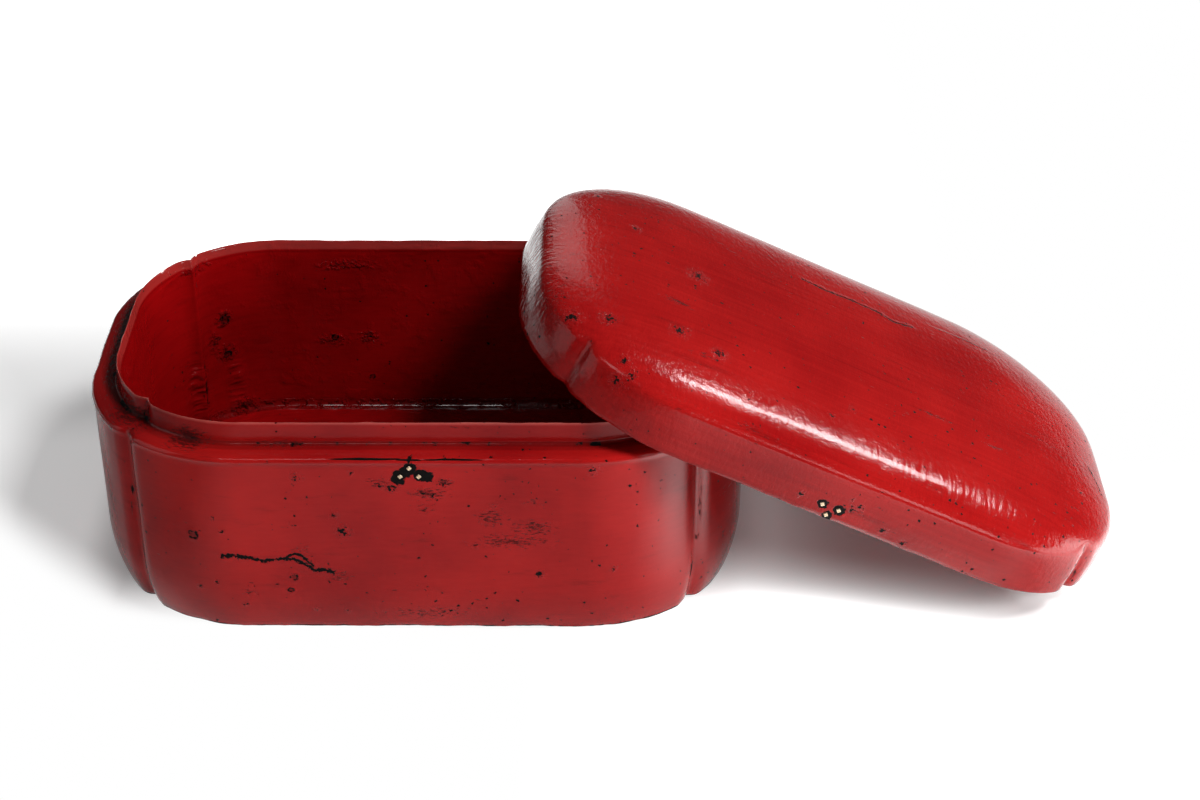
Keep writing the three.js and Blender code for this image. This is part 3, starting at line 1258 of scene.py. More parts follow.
@dataclass
class Lid:
    """The domed lid with its skirt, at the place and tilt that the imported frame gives."""

    outline: Outline
    skirt_height: float = 21.0
    skirt_thickness: float = 11.4
    rise: float = 19.5
    top_thickness: float = 8.0
    dome_power: float = 2.3
    corner_ease: float = 16.0
    groove_fade: float = 3.6
    shoulder_steps: int = 34
    shoulder_crowding: float = 1.9
    crown_share: float = 0.48
    crown_steps: int = 14
    roll_from: float = 9.0
    roll_to: float = 22.46
    roll_depth: float = 1.23
    roll_reach: float = 25.0
    roll_steps: int = 8
    rim_radius: float = 1.0
    rim_wear: Point = (0.92, 0.5)
    origin: Vector = field(init=False)
    tilt: float = field(init=False)

    NODES = (
        "lid_top_panel",
        *(f"lid_{side}_skirt" for side in ("front", "back", "left", "right")),
    )

    def __post_init__(self) -> None:
        """Finds the lid's tilt and the middle of its rim from the frame's skirt boards."""
        ends = [rest_corners(f"lid_{side}_skirt") for side in ("left", "right")]
        left, right = (sum(corners, Vector()) / len(corners) for corners in ends)
        across = (right - left).normalized()
        up = Vector((-across.z, 0.0, across.x))
        rim = min(corner.dot(up) for corners in ends for corner in corners)
        self.tilt = math.atan2(-across.z, across.x)
        self.origin = across * ((left + right) / 2).dot(across) + up * rim

    def _dome(self, share: float) -> float:
        """Share of the dome's rise at a share of the way from its edge to its middle."""
        return (1.0 - (1.0 - share) ** self.dome_power) ** (1.0 / self.dome_power)

    def _dome_points(self, rim_inset: float, rise: float, inside: float) -> list[SectionPoint]:
        """One face of the dome from its rim to its middle.

        Args:
            rim_inset: Inset of the face's rim.
            rise: Height of the middle above the rim.
            inside: 1 for the face under the lid.

        Returns:
            The points in order.
        """
        span = self.outline.half_width - rim_inset
        points = []
        for step in range(self.shoulder_steps + 1):
            share = self.crown_share * (step / self.shoulder_steps) ** self.shoulder_crowding
            lift = self._dome(share)
            points.append(
                SectionPoint(
                    rim_inset + span * share,
                    self.skirt_height + rise * lift,
                    ease=lift * lift,
                    groove=max(0.0, 1.0 - span * share / self.groove_fade),
                    inside=inside,
                )
            )
        last = points[-1]
        for step in range(1, self.crown_steps + 1):
            share = step / self.crown_steps
            lift = self._dome(self.crown_share + (1.0 - self.crown_share) * share)
            height = self.skirt_height + rise * lift
            points.append(replace(last, height=height, shrink=1.0 - share))
        return points

    def _rolled(self, points: list[SectionPoint]) -> list[SectionPoint]:
        """Rolls the top of the skirt in to meet the dome without a crease.

        Args:
            points: The dome's outer face from its rim to its middle.

        Returns:
            The face from where the roll starts on the skirt to the middle.
        """
        kept = [point for point in points if point.height > self.roll_to]
        first = kept[0].inset
        rolled = []
        for step in range(self.roll_steps):
            share = step / self.roll_steps
            height = self.roll_from + (self.roll_to - self.roll_from) * share
            rolled.append(SectionPoint(self.roll_depth * share * share, height))
        for point in kept:
            share = min(1.0, (point.inset - first) / self.roll_reach)
            left = 1.0 - share * share * (3.0 - 2.0 * share)
            rolled.append(replace(point, inset=point.inset + (self.roll_depth - first) * left))
        return rolled

    def section(self) -> Section:
        """Section from the middle of the top, round the rim, to the middle of the hollow.

        Returns:
            The section.
        """
        made = Section()
        made.points.extend(reversed(self._rolled(self._dome_points(0.0, self.rise, 0.0))))
        radius = self.rim_radius
        made.line(0.0, radius, spacing=2.0)
        made.arc((radius, radius), radius, (180.0, 270.0), steps=4, edge=self.rim_wear[0])
        inner = (self.skirt_thickness - radius, radius)
        made.line(inner[0], 0.0, spacing=1.6)
        made.arc(inner, radius, (270.0, 360.0), steps=4, edge=self.rim_wear[1])
        made.line(self.skirt_thickness, self.skirt_height - 1.0, spacing=2.0, inside=1.0)
        hollow_rise = self.rise - self.top_thickness
        made.points.extend(self._dome_points(self.skirt_thickness, hollow_rise, 1.0))
        return made

    def build(self, tree: SkinTree, outside: Lacquer, inside: Lacquer) -> bpy.types.Object:
        """Builds and dresses the lid.

        Args:
            tree: Tree that sweeps the section.
            outside: Finish of the outside.
            inside: Finish of the hollow.

        Returns:
            The piece, riding on the lid.
        """
        values = skin_values(self.outline, outside, inside)
        values["Corner Ease"] = self.corner_ease * MM
        values["Location"] = tuple(self.origin)
        values["Rotation"] = (0.0, self.tilt, 0.0)
        piece = tree.make("lid_shell", self.section(), values)
        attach(piece, "lid")
        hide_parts(*self.NODES)
        return piece


def rest_corners(node: str) -> list[Vector]:
    """The corners of a CAD node's mesh at rest, in metres."""
    return [corner.co.copy() for corner in bpy.data.objects[node].data.vertices]


def skin_values(outline: Outline, outside: Lacquer, inside: Lacquer) -> dict[str, Any]:
    """The skin tree's inputs that the box and the lid share.

    Args:
        outline: Plan of the piece.
        outside: Finish of the outside.
        inside: Finish of the inside.

    Returns:
        Values by input name.
    """
    return {
        "Half Length": outline.length / 2 * MM,
        "Half Width": outline.half_width * MM,
        "Corner Radius": outline.corner_radius * MM,
        "Corner Ease": 0.0,
        "Groove Half Width": outline.groove_half_width * MM,
        "Groove Depth": outline.groove_depth * MM,
        "Seed": outline.seed,
        "Swell": outline.swell * MM,
        "Ripple": outline.ripple * MM,
        "Knocks": outline.knocks * MM,
        "Location": (0.0, 0.0, 0.0),
        "Rotation": (0.0, 0.0, 0.0),
        "Outside": outside.material(),
        "Inside": inside.material(),
    }


class NailTree(GeometryTree):
    """Sets three nail stubs in a triangle on a front face, each turned a little at random."""

    COUNT = 3
    TURN = 0.12

    def __init__(self) -> None:
        """Writes the tree."""
        super().__init__("nail_trio")
        nail = self.input("Nail", "Geometry")
        index = self.node("GeometryNodeInputIndex")
        in_row = index.least(1.0)
        side = (index * 2.0 - 3.0) * in_row
        spot = self.vector(
            side * self.input("Half Spacing", "Float"),
            self.input("Face", "Float"),
            self.input("Tip Height", "Float") + in_row * self.input("Row Offset", "Float"),
        )
        points = self.node("GeometryNodePoints", {}, {"Count": self.COUNT, "Position": spot})
        turn = self.node(
            "FunctionNodeRandomValue",
            {"data_type": "FLOAT"},
            {2: -self.TURN, 3: self.TURN, "Seed": self.input("Seed", "Int")},
            1,
        )
        stubs = self.node(
            "GeometryNodeInstanceOnPoints",
            {},
            {"Points": points, "Instance": nail, "Rotation": self.vector(0.0, turn, 0.0)},
        )
        placed = self.node(
            "GeometryNodeTransform",
            {},
            {
                "Geometry": self.node("GeometryNodeRealizeInstances", {}, {"Geometry": stubs}),
                "Translation": self.input("Location", "Vector"),
                "Rotation": self.input("Rotation", "Vector"),
            },
        )
        material = self.input("Material", "Material")
        self.finish(
            self.node("GeometryNodeSetMaterial", {}, {"Geometry": placed, "Material": material})
        )


@dataclass
class NailTrio:
    """Three square brass nail stubs that are left from the lost clasp.

    The head's rings give how far each stands out, as a share of what stands proud, and its share of
    the width.
    """

    HEAD = ((-1.0, 1.0), (0.4, 1.0), (0.85, 0.86), (1.0, 0.6), (0.9, 0.26), (0.2, 0.16))

    name: str
    body: str
    nodes: tuple[str, ...]
    tip_height: float
    row_direction: float
    face: float
    width: float = 1.7
    length: float = 6.0
    proud: float = 0.4
    end_share: float = 0.7
    corners: int = 16
    half_spacing: float = 4.3
    row_offset: float = 4.6
    seed: int = 5

    def _nail(self) -> bpy.types.Mesh:
        """One stub that points to -Y, turned to a diamond, with a hollow in its hammered head.

        Returns:
            Its mesh.
        """
        half = self.width / 2 * math.sqrt(2.0) * MM
        rings = [(self.proud - self.length, self.end_share)]
        rings.extend((self.proud * out, share) for out, share in self.HEAD)
        shape = bmesh.new()
        made = []
        for out, share in rings:
            ring = []
            for corner in range(self.corners):
                angle = 2 * math.pi * corner / self.corners
                x, z = math.cos(angle), math.sin(angle)
                squareness = min(1.0, share * share + 0.1)
                reach = half * share / (abs(x) + abs(z)) ** squareness
                ring.append(shape.verts.new((reach * x, -out * MM, reach * z)))
            made.append(ring)
        for lower, upper in zip(made, made[1:]):
            for corner in range(self.corners):
                following = (corner + 1) % self.corners
                shape.faces.new((lower[corner], lower[following], upper[following], upper[corner]))
        shape.faces.new(made[0])
        shape.faces.new(made[-1])
        bmesh.ops.recalc_face_normals(shape, faces=shape.faces)
        mesh = bpy.data.meshes.new("nail")
        shape.to_mesh(mesh)
        shape.free()
        return mesh

    def build(
        self, tree: NailTree, finish: Brass, location: Sequence[float], tilt: float
    ) -> bpy.types.Object:
        """Builds and dresses the stubs.

        Args:
            tree: Tree that sets them in place.
            finish: Their finish.
            location: Origin of what carries them.
            tilt: Turn of what carries them about +Y.

        Returns:
            The piece.
        """
        piece = bpy.data.objects.new(self.name, self._nail())
        bpy.context.scene.collection.objects.link(piece)
        tree.bake(
            piece,
            {
                "Half Spacing": self.half_spacing * MM,
                "Face": self.face * MM,
                "Tip Height": self.tip_height * MM,
                "Row Offset": self.row_direction * self.row_offset * MM,
                "Seed": self.seed,
                "Location": tuple(location),
                "Rotation": (0.0, tilt, 0.0),
                "Material": finish.material(),
            },
        )
        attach(piece, self.body)
        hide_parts(*self.nodes)
        return piece


class Lights(Enum):
    """What a lamp does: it lights surfaces, or it shows as a reflection in them."""

    SURFACES = (True, False)
    REFLECTIONS = (False, True)


@dataclass(frozen=True)
class Softbox:
    """A soft lamp: its place, aim and size in metres, its watts and the way its width runs."""

    name: str
    lights: Lights
    place: Place
    aim: Place
    size: Point
    power: float
    along: Place = (0.0, 1.0, 0.0)

    def build(self) -> None:
        """Adds the lamp to the scene."""
        data = bpy.data.lights.new(self.name, "AREA")
        data.shape = "RECTANGLE"
        data.size, data.size_y = self.size
        data.energy = self.power
        made = bpy.data.objects.new(self.name, data)
        bpy.context.scene.collection.objects.link(made)
        made.visible_camera = False
        made.visible_diffuse, made.visible_glossy = self.lights.value
        back = (Vector(self.place) - Vector(self.aim)).normalized()
        side = Vector(self.along)
        side = (side - back * side.dot(back)).normalized()
        turn = Matrix((side, back.cross(side), back)).transposed()
        made.location = self.place
        made.rotation_euler = turn.to_euler()


@dataclass(frozen=True)
class Glow:
    """A stretch of the white floor that is brighter, so that it gleams in the lacquer.

    Each pair gives where it starts and where it is full: along X, along Y, and along Y at its end.
    """

    strength: float
    across: Point
    deep: Point
    end: Point | None = None


@dataclass(frozen=True)
class Floor:
    """Pale floor in metres, which keeps the shadows near the object and is plain white further off.

    Each pair named for a zone gives where it starts and where it is full, along X, along Y or as a
    distance. Of two values for two sides, the left one comes first. Flag and dim darken the white in
    reflections only.
    """

    reach: float = 12.0
    level: float = -0.0002
    colour: Colour = (0.95, 0.95, 0.95)
    ends: tuple[Point, Point] = ((-0.22, -0.32), (0.27, 0.37))
    fronts: tuple[Point, Point] = ((-0.048, -0.098), (-0.015, -0.118))
    front_turn: Point = (0.05, -0.05)
    back: Point = (0.1, 0.26)
    bends: Point = (-0.15, 0.16)
    slopes: Point = (1.0, 0.27)
    shadow_light: float = 0.42
    lid_shadow_light: float = 0.045
    lid_shadow: Point = (0.23, 0.06)
    dark_light: float = 0.67
    dark_from: Point = (0.06, 0.12)
    dark_to: Point = (0.2, 0.14)
    contact_light: float = 0.45
    contact_core: Point = (0.08, 0.023)
    contact: Point = (0.074, 0.1)
    flag: float = 0.6
    flag_across: Point = (-0.12, -0.2)
    flag_deep: Point = (0.3, 0.15)
    dim: Point = (0.7, 1.9)
    dim_levels: Point = (0.9, 0.15)
    dim_turn: Point = (0.0, 0.8)
    hot_glow: float = 5.0
    hot_spot: Place = (0.23, -0.09, 0.0)
    hot_reach: Point = (0.12, 0.02)
    glows: tuple[Glow, ...] = (
        Glow(2.0, (0.05, 0.3), (0.05, -0.1)),
        Glow(1.0, (0.3, 0.1), (0.15, 0.3), (1.0, 0.6)),
        Glow(4.0, (0.3, 0.42), (0.05, -0.05)),
    )

    def build(self) -> None:
        """Adds the floor to the stage."""
        mesh = bpy.data.meshes.new("floor")
        sides = ((-1, -1), (1, -1), (1, 1), (-1, 1))
        corners = [(x * self.reach, y * self.reach, self.level) for x, y in sides]
        mesh.from_pydata(corners, [], [(0, 1, 2, 3)])
        mesh.materials.append(FloorGraph(self).material)
        floor = bpy.data.objects.new("floor", mesh)
        bpy.context.scene.collection.objects.link(floor)


class FloorGraph(Graph):
    """Writes the floor's look as shader nodes."""

    def __init__(self, floor: Floor) -> None:
        """Writes the nodes of a floor.

        Args:
            floor: The floor.
        """
        self.material = bpy.data.materials.new("pale_floor")
        self.material.use_nodes = True
        super().__init__(self.material.node_tree)
        self.floor = floor
        self.place = self.node("ShaderNodeTexCoord", {}, {}, "Object")
        self.across = self.place.part("X")
        self.deep = self.place.part("Y")
        self.mirrored = self._ray("Glossy")
        seen = self._ray("Camera").most(self.mirrored).most(self._ray("Transmission"))
        away = self._away()
        flagged = self._flagged()
        lit = self.node("ShaderNodeBsdfDiffuse", {}, {"Color": (*floor.colour, 1.0)})
        lift = self.node("ShaderNodeEmission", {}, {"Strength": seen * self._least() * flagged})
        near = self.node("ShaderNodeAddShader", {}, {0: lit, 1: lift})
        white = self.node("ShaderNodeEmission", {}, {"Strength": self._white(away) * flagged})
        shader = self.node("ShaderNodeMixShader", {}, {0: seen * away, 1: near, 2: white})
        self.node("ShaderNodeOutputMaterial", {}, {"Surface": shader})

    def _ray(self, kind: str) -> Wire:
        """1 for rays of one kind."""
        return self.node("ShaderNodeLightPath", {}, {}, f"Is {kind} Ray")

    def _away(self) -> Wire:
        """1 outside the zone of the shadows, whose front bends at both sides.

        Returns:
            A number from 0 to 1.
        """
        floor = self.floor
        left_end, right_end = (self.across.step(*bounds) for bounds in floor.ends)
        past_left = (floor.bends[0] - self.across).most(0.0)
        past_right = (self.across - floor.bends[1]).most(0.0)
        ahead = self.deep + past_right * floor.slopes[1] - past_left * floor.slopes[0]
        left, right = (ahead.step(*bounds) for bounds in floor.fronts)
        front = right + self.across.step(*floor.front_turn) * (left - right)
        back = (self.deep + past_right).step(*floor.back)
        return left_end.most(right_end).most(front).most(back)

    def _flagged(self) -> Wire:
        """Level of the floor, which is lower where a flag at the left shows in reflections.

        Returns:
            A number from 0 to 1.
        """
        floor = self.floor
        on_left = self.across.step(*floor.flag_across) * self.deep.step(*floor.flag_deep)
        return 1.0 - self.mirrored * on_left * floor.flag

    def _least(self) -> Wire:
        """Light that the shadows keep: little under the lid, behind the box and where it stands.

        Returns:
            Strength of the light.
        """
        floor = self.floor
        beside = self.across.step(*floor.lid_shadow)
        least = floor.lid_shadow_light + beside * (floor.shadow_light - floor.lid_shadow_light)
        behind = self.deep.step(*floor.dark_from) * self.deep.step(*floor.dark_to)
        off_x = (abs(self.across) - floor.contact_core[0]).most(0.0)
        off_y = (abs(self.deep) - floor.contact_core[1]).most(0.0)
        clear = self.length(self.vector(off_x, off_y, 0.0)).step(*floor.contact)
        least = least * (1.0 - (1.0 - floor.dark_light) * behind)
        return least * (floor.contact_light + (1.0 - floor.contact_light) * clear)

    def _white(self, away: Wire) -> Wire:
        """Level of the white floor, with its glows and dimmer far off.

        Args:
            away: 1 outside the zone of the shadows.

        Returns:
            Strength of the light.
        """
        floor = self.floor
        extra = self.length(self.place - floor.hot_spot).step(*floor.hot_reach) * floor.hot_glow
        for glow in floor.glows:
            bright = self.across.step(*glow.across) * self.deep.step(*glow.deep) * glow.strength
            extra = extra + (bright * self.deep.step(*glow.end) if glow.end else bright)
        near_left, near_right = floor.dim_levels
        dimmed = near_left + self.across.step(*floor.dim_turn) * (near_right - near_left)
        far = self.length(self.place).step(*floor.dim) * self.mirrored
        return (1.0 + extra * away * away) * (1.0 - far * (1.0 - dimmed))


@dataclass
class Studio:
    """Floor, soft lights and the camera at the photograph's angle. Camera sizes are in millimetres."""

    image_width: float = 1200.0
    focal_pixels: float = 2386.353
    sensor: float = 36.0
    camera_place: Place = (91.259, -1020.369, 708.16)
    pitch_down: float = 32.031
    yaw: float = -0.181
    room_level: float = 0.06
    floor: Floor = Floor()

    LAMPS = (
        Softbox("high", Lights.SURFACES, (1.1, -0.66, 1.87), (0.1, 0.0, 0.05), (0.5, 0.5), 29.0),
        Softbox(
            "crest",
            Lights.REFLECTIONS,
            (-0.24, -0.75, 1.55),
            (-0.06, 0.0, 0.1),
            (0.4, 0.3),
            3.0,
            (1.0, 0.0, 0.0),
        ),
        Softbox("rib", Lights.REFLECTIONS, (0.93, -0.92, 0.51), (-0.1, 0.07, 0.05), (0.3, 0.25), 3.0),
        Softbox("side", Lights.SURFACES, (1.68, -0.62, 0.78), (0.15, 0.0, 0.05), (0.52, 0.52), 22.0),
        Softbox(
            "front",
            Lights.SURFACES,
            (0.0, -1.5, 0.3),
            (0.1, -0.1, 0.05),
            (1.2, 0.5),
            2.0,
            (1.0, 0.0, 0.0),
        ),
        Softbox(
            "strip",
            Lights.REFLECTIONS,
            (1.0, 0.5, 1.0),
            (0.19, -0.1, 0.08),
            (0.42, 0.1),
            11.0,
            (0.79, 0.0, -0.61),
        ),
        Softbox("low", Lights.REFLECTIONS, (1.25, -0.08, 0.12), (0.2, -0.05, 0.08), (0.9, 0.36), 10.0),
        Softbox(
            "back",
            Lights.REFLECTIONS,
            (0.05, 1.5, 0.86),
            (0.05, 0.0, 0.86),
            (0.54, 1.27),
            3.4,
            (0.875, 0.0, -0.483),
        ),
        Softbox("left", Lights.REFLECTIONS, (-1.4, -0.38, 0.78), (0.06, -0.08, 0.5), (1.2, 1.3), 7.0),
    )

    def camera(self) -> None:
        """Makes the camera."""
        data = bpy.data.cameras.new("photo_camera")
        data.sensor_width = self.sensor
        data.lens = self.focal_pixels / self.image_width * self.sensor
        camera = bpy.data.objects.new("photo_camera", data)
        bpy.context.scene.collection.objects.link(camera)
        camera.location = Vector(self.camera_place) * MM
        pitch, yaw = math.radians(self.pitch_down), math.radians(self.yaw)
        level = math.cos(pitch)
        forward = Vector((math.sin(yaw) * level, math.cos(yaw) * level, -math.sin(pitch)))
        camera.rotation_euler = forward.to_track_quat("-Z", "Y").to_euler()
        bpy.context.scene.camera = camera

    def world(self) -> None:
        """Sets the even light of the room."""
        world = bpy.data.worlds.new("room")
        world.use_nodes = True
        graph = Graph(world.node_tree)
        inputs = {"Color": (1.0, 1.0, 1.0, 1.0), "Strength": self.room_level}
        shader = graph.node("ShaderNodeBackground", {}, inputs)
        graph.node("ShaderNodeOutputWorld", {}, {"Surface": shader})
        bpy.context.scene.world = world

    def build(self) -> None:
        """Sets up the whole studio."""
        bpy.context.scene.view_settings.view_transform = "Standard"
        self.camera()
        self.floor.build()
        self.world()
        for lamp in self.LAMPS:
            lamp.build()


BODY_FLAWS = Flaws(
    cracks=(
        Crack(
            (
                (-90.7, -102.2, 45.0),
                (-85.5, -102.4, 46.6),
                (-72.0, -102.5, 43.4),
                (-58.4, -102.5, 44.8),
                (-53.0, -102.5, 42.4),
                (-47.2, -102.5, 37.8),
                (-44.5, -102.5, 38.6),
                (-38.5, -102.5, 36.8),
            ),
            1.7,
        ),
        Crack(
            (
                (-60.0, -102.5, 45.5),
                (-56.5, -102.5, 47.4),
                (-53.0, -102.5, 46.0),
                (-48.0, -102.5, 41.0),
            ),
            1.1,
        ),
        Crack(((0.5, -102.5, 97.5), (0.3, -102.8, 100.6)), 1.8),
    ),
    slits=(
        Patch((-20.0, -102.8, 100.9), (19.0, 12.0, 0.42)),
        Patch((20.0, -102.8, 100.7), (16.0, 12.0, 0.38)),
        Patch((0.0, -102.8, 100.6), (7.0, 12.0, 0.4)),
    ),
    craters=Spot.row(
        Face.FRONT,
        (-104.0, -99.3, 55.6, 2.6),
        (-57.3, -102.5, 33.8, 2.1),
        (-59.3, -102.5, 26.0, 1.6),
    ),
    chips=Spot.row(
        Face.FRONT,
        (-32.7, -102.5, 60.6, 2.4),
        (-36.8, -102.5, 69.8, 1.3),
        (-93.7, -101.8, 66.9, 1.0),
        (-90.2, -102.1, 59.5, 0.9),
        (-56.5, -102.5, 64.0, 0.9),
        (-94.5, -101.8, 30.0, 0.9),
        (-103.5, -99.6, 26.0, 1.1),
        (-81.5, -102.4, 17.0, 0.9),
        (-48.0, -102.2, 13.5, 0.9),
        (-33.0, -102.0, 12.5, 0.9),
        (-52.5, -102.5, 91.5, 1.7),
        (-27.5, -102.5, 93.5, 0.9),
        (-8.5, -102.5, 85.3, 1.9),
        (-14.2, -102.5, 86.6, 1.3),
        (5.5, -102.5, 82.6, 1.4),
        (10.5, -102.5, 81.2, 1.2),
        (15.0, -102.5, 88.0, 1.6),
        (38.5, -102.5, 75.2, 1.0),
        (29.0, -102.5, 52.0, 1.0),
        (59.8, -102.5, 35.5, 1.5),
        (94.8, -101.4, 38.4, 1.1),
        (85.0, -102.3, 95.0, 1.6),
    ),
    bruises=(
        Patch((9.0, -102.5, 82.0), (14.0, 6.0, 5.0), 1.2),
        Patch((6.0, -102.5, 74.0), (8.0, 6.0, 5.0), 0.8),
        Patch((17.0, -102.5, 88.0), (7.0, 6.0, 4.0), 1.0),
        Patch((-14.0, -102.5, 88.0), (9.0, 6.0, 6.0), 0.8),
        Patch((37.0, -102.5, 68.5), (11.0, 6.0, 7.0), 1.1),
        Patch((57.0, -102.5, 62.5), (16.0, 6.0, 7.0), 1.0),
        Patch((47.0, -102.5, 54.5), (26.0, 6.0, 6.0), 1.1),
        Patch((5.0, -100.5, 11.0), (32.0, 6.0, 6.0), 0.9),
        Patch((-53.0, -102.5, 50.0), (6.0, 6.0, 5.0), 0.9),
        Patch((-35.0, -102.5, 34.0), (8.0, 6.0, 5.0), 0.9),
        Patch((-78.0, -102.5, 25.0), (7.0, 6.0, 3.0), 0.9),
        Patch((-104.0, -88.0, 104.0), (15.0, 12.0, 7.0), 1.6),
        Patch((-60.0, -91.5, 103.0), (22.0, 4.0, 3.0), 0.9),
        # Streaky bruises along the left ledge: partly worn undercoat, partly painted shade where the
        # lip shades the ledge.
        Patch((-149.0, 20.0, 103.0), (9.0, 80.0, 5.0), 1.5),
        Patch((-133.0, -66.0, 104.0), (20.0, 24.0, 7.0), 1.3),
        Patch((57.0, -102.5, 77.0), (7.0, 6.0, 3.0), 0.8),
    ),
    nail_spots=(
        (0.3, -102.5, 96.0),
        (-4.6, -102.5, 92.0),
        (-5.5, -102.5, 90.0),
        (-2.0, -102.5, 94.0),
        (5.0, -102.5, 92.0),
        (7.8, -102.5, 91.6),
    ),
    spot_radius=3.3,
)
INNER_FLAWS = Flaws(
    craters=Spot.row(
        Face.FRONT,
        (-111.8, 78.3, 70.6, 2.6),
        (-112.0, 78.2, 49.0, 2.2),
        (-116.0, 75.0, 60.0, 1.4),
        (-55.0, 86.8, 54.6, 2.0),
        (-36.0, 86.8, 56.5, 1.8),
        (-36.0, 86.8, 30.0, 1.6),
    ),
    bruises=(
        Patch((-112.0, 78.0, 71.0), (7.0, 7.0, 7.0), 1.0),
        Patch((-112.0, 78.0, 50.0), (8.0, 8.0, 8.0), 1.0),
        Patch((-118.0, 74.0, 58.0), (4.0, 6.0, 10.0), 0.8),
        Patch((-56.0, 87.0, 53.0), (13.0, 6.0, 6.0), 0.7),
        Patch((-37.0, 87.0, 55.0), (9.0, 6.0, 6.0), 0.7),
        Patch((-46.0, 87.0, 99.0), (24.0, 6.0, 5.0), 0.7),
        Patch((-122.0, 70.0, 106.0), (18.0, 18.0, 5.0), 0.5),
        Patch((-106.0, 82.0, 15.0), (10.0, 10.0, 7.0), 1.0),
    ),
    wrinkles=(
        Patch((-127.0, 65.7, 30.0), (8.0, 8.0, 34.0)),
        Patch((-109.3, 80.5, 28.0), (7.0, 7.0, 26.0)),
        Patch((-108.0, 80.0, 13.0), (9.0, 9.0, 6.0)),
        Patch((-128.0, 64.0, 106.0), (24.0, 20.0, 7.0), 0.5),
        Patch((10.0, 88.0, 109.0), (70.0, 8.0, 6.0), 0.3),
    ),
)
LID_FLAWS = Flaws(
    cracks=(
        Crack(
            (
                (-19.5, 50.6, 39.3),
                (-6.9, 48.6, 39.4),
                (7.3, 49.8, 39.3),
                (23.1, 49.3, 39.3),
                (33.6, 45.3, 39.6),
                (44.1, 48.3, 39.4),
            ),
            1.2,
            Face.TOP,
        ),
        Crack(((57.9, 61.5, 38.2), (75.8, 62.6, 37.8), (92.7, 63.6, 37.2)), 0.5, Face.TOP),
        Crack(((143.2, -9.5, 33.8), (146.6, -19.5, 32.7), (148.9, -29.2, 31.6)), 0.9, Face.TOP),
    ),
    chips=Spot.row(
        Face.TOP,
        (-81.2, 4.2, 40.0, 3.0),
        (-92.4, -54.0, 38.4, 2.7),
        (-71.6, -59.9, 38.4, 2.4),
        (-132.3, 59.4, 33.0, 1.3),
        (-113.9, 30.6, 38.3, 1.5),
        (-143.1, -63.4, 28.5, 2.6),
        (-126.7, -61.2, 33.8, 2.5),
        (-116.7, -85.2, 30.0, 1.6),
        (-112.0, -91.5, 26.5, 1.6),
        (-0.7, -60.3, 38.3, 1.2),
        (-12.2, -71.5, 36.8, 1.0),
        (131.7, -42.9, 35.0, 1.1),
    )
    + Spot.row(
        Face.FRONT,
        (-117.5, -92.5, 20.5, 1.9),
        (28.7, -103.1, 6.0, 1.4),
        (39.7, -103.0, 3.6, 1.1),
        (-16.0, -103.0, 8.0, 1.1),
        (9.5, -103.0, 11.0, 1.0),
        (7.2, -103.0, 15.8, 0.9),
        (12.8, -103.0, 13.0, 1.0),
    ),
    bruises=(
        Patch((-93.0, -29.5, 39.4), (11.0, 4.0, 8.0), 1.0),
        Patch((-80.0, -66.0, 37.5), (12.0, 4.0, 8.0), 0.7),
        Patch((48.0, -37.0, 40.2), (12.0, 3.5, 8.0), 1.0),
        Patch((79.0, -42.0, 39.5), (10.0, 3.0, 8.0), 0.7),
        Patch((115.0, -14.0, 38.4), (16.0, 3.0, 8.0), 0.6),
        Patch((12.0, -103.0, 10.0), (9.0, 6.0, 4.0), 0.7),
        Patch((-51.0, -99.0, 28.2), (16.0, 6.0, 4.0), 0.7),
        # Streaky bruise over the left end: partly worn undercoat, partly painted shade on the end that
        # faces away from the lamps.
        Patch((-150.0, -45.0, 24.0), (10.0, 30.0, 14.0), 0.6),
        Patch((90.0, 63.0, 37.5), (40.0, 5.0, 8.0), 0.5),
    ),
    wrinkles=(
        Patch((48.0, -86.0, 31.0), (86.0, 24.0, 16.0), 0.24),
        Patch((-50.0, -86.0, 31.0), (75.0, 24.0, 16.0), 0.18),
    ),
    nail_spots=((-4.0, -102.7, 7.4), (4.4, -102.7, 7.6), (5.0, -102.7, 7.4), (0.6, -102.7, 2.6)),
    spot_radius=2.7,
)


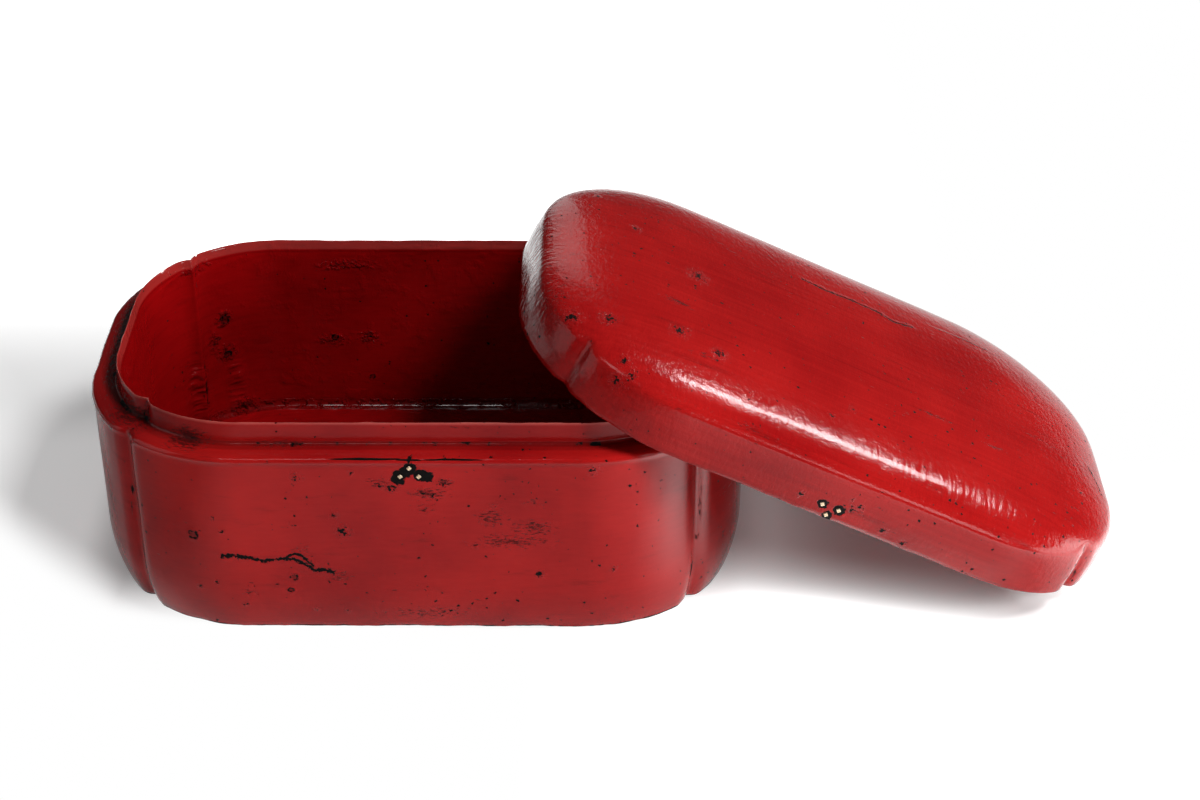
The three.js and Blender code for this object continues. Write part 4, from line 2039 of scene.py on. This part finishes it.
def lacquers(lid: Lid) -> tuple[Lacquer, Lacquer, Lacquer, Lacquer]:
    """The lacquer of each skin.

    Args:
        lid: The lid, whose frame its flaws are placed in.

    Returns:
        The finishes of the box outside and inside and of the lid outside and inside.
    """
    outer = Lacquer("box_lacquer", (0.25, 0.003, 0.004), (0.43, 0.01, 0.009), flaws=BODY_FLAWS)
    inner = Lacquer(
        "inner_lacquer",
        (0.21, 0.001, 0.002),
        (0.4, 0.003, 0.004),
        coat=0.8,
        speckle=0.9,
        stroke=0.4,
        brush_height=0.03,
        peel_height=0.15,
        blister_height=0.3,
        flaws=INNER_FLAWS,
    )
    lid_frame = {"brush": BrushWay.LENGTHWISE, "origin": tuple(lid.origin), "tilt": lid.tilt}
    lid_outer = replace(
        outer,
        name="lid_lacquer",
        stroke=0.4,
        smoke=0.45,
        brush_height=0.03,
        peel_height=0.3,
        ridge_height=0.16,
        folds=(0.3, 0.07, 0.07),
        flaws=LID_FLAWS,
        **lid_frame,
    )
    lid_inner = replace(inner, name="lid_inner_lacquer", flaws=Flaws(), **lid_frame)
    return outer, inner, lid_outer, lid_inner


def main() -> None:
    """Builds the box, the lid, their nails and the studio."""
    logging.basicConfig(level=logging.INFO, format="%(name)s: %(message)s")
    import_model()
    outline = Outline()
    body = BoxBody(outline)
    lid = Lid(outline)
    outer, inner, lid_outer, lid_inner = lacquers(lid)
    skins = SkinTree()
    nails = NailTree()
    pieces = [
        body.build(skins, outer, inner),
        lid.build(skins, lid_outer, lid_inner),
    ]
    brass = Brass()
    body_nails = NailTrio(
        "body_nails",
        "box",
        ("body_pin_tip", "body_pin_left", "body_pin_right"),
        tip_height=96.2,
        row_direction=-1.0,
        face=-(outline.half_width - body.bead_overhang),
    )
    lid_nails = NailTrio(
        "lid_nails",
        "lid",
        ("lid_pin_tip", "lid_pin_left", "lid_pin_right"),
        tip_height=2.8,
        row_direction=1.0,
        face=-outline.half_width,
    )
    pieces.append(body_nails.build(nails, brass, (0.0, 0.0, 0.0), 0.0))
    pieces.append(lid_nails.build(nails, brass, lid.origin, lid.tilt))
    Studio().build()
    for piece in pieces:
        LOG.info("%s has %d faces", piece.name, len(piece.data.polygons))


if __name__ == "__main__":
    main()
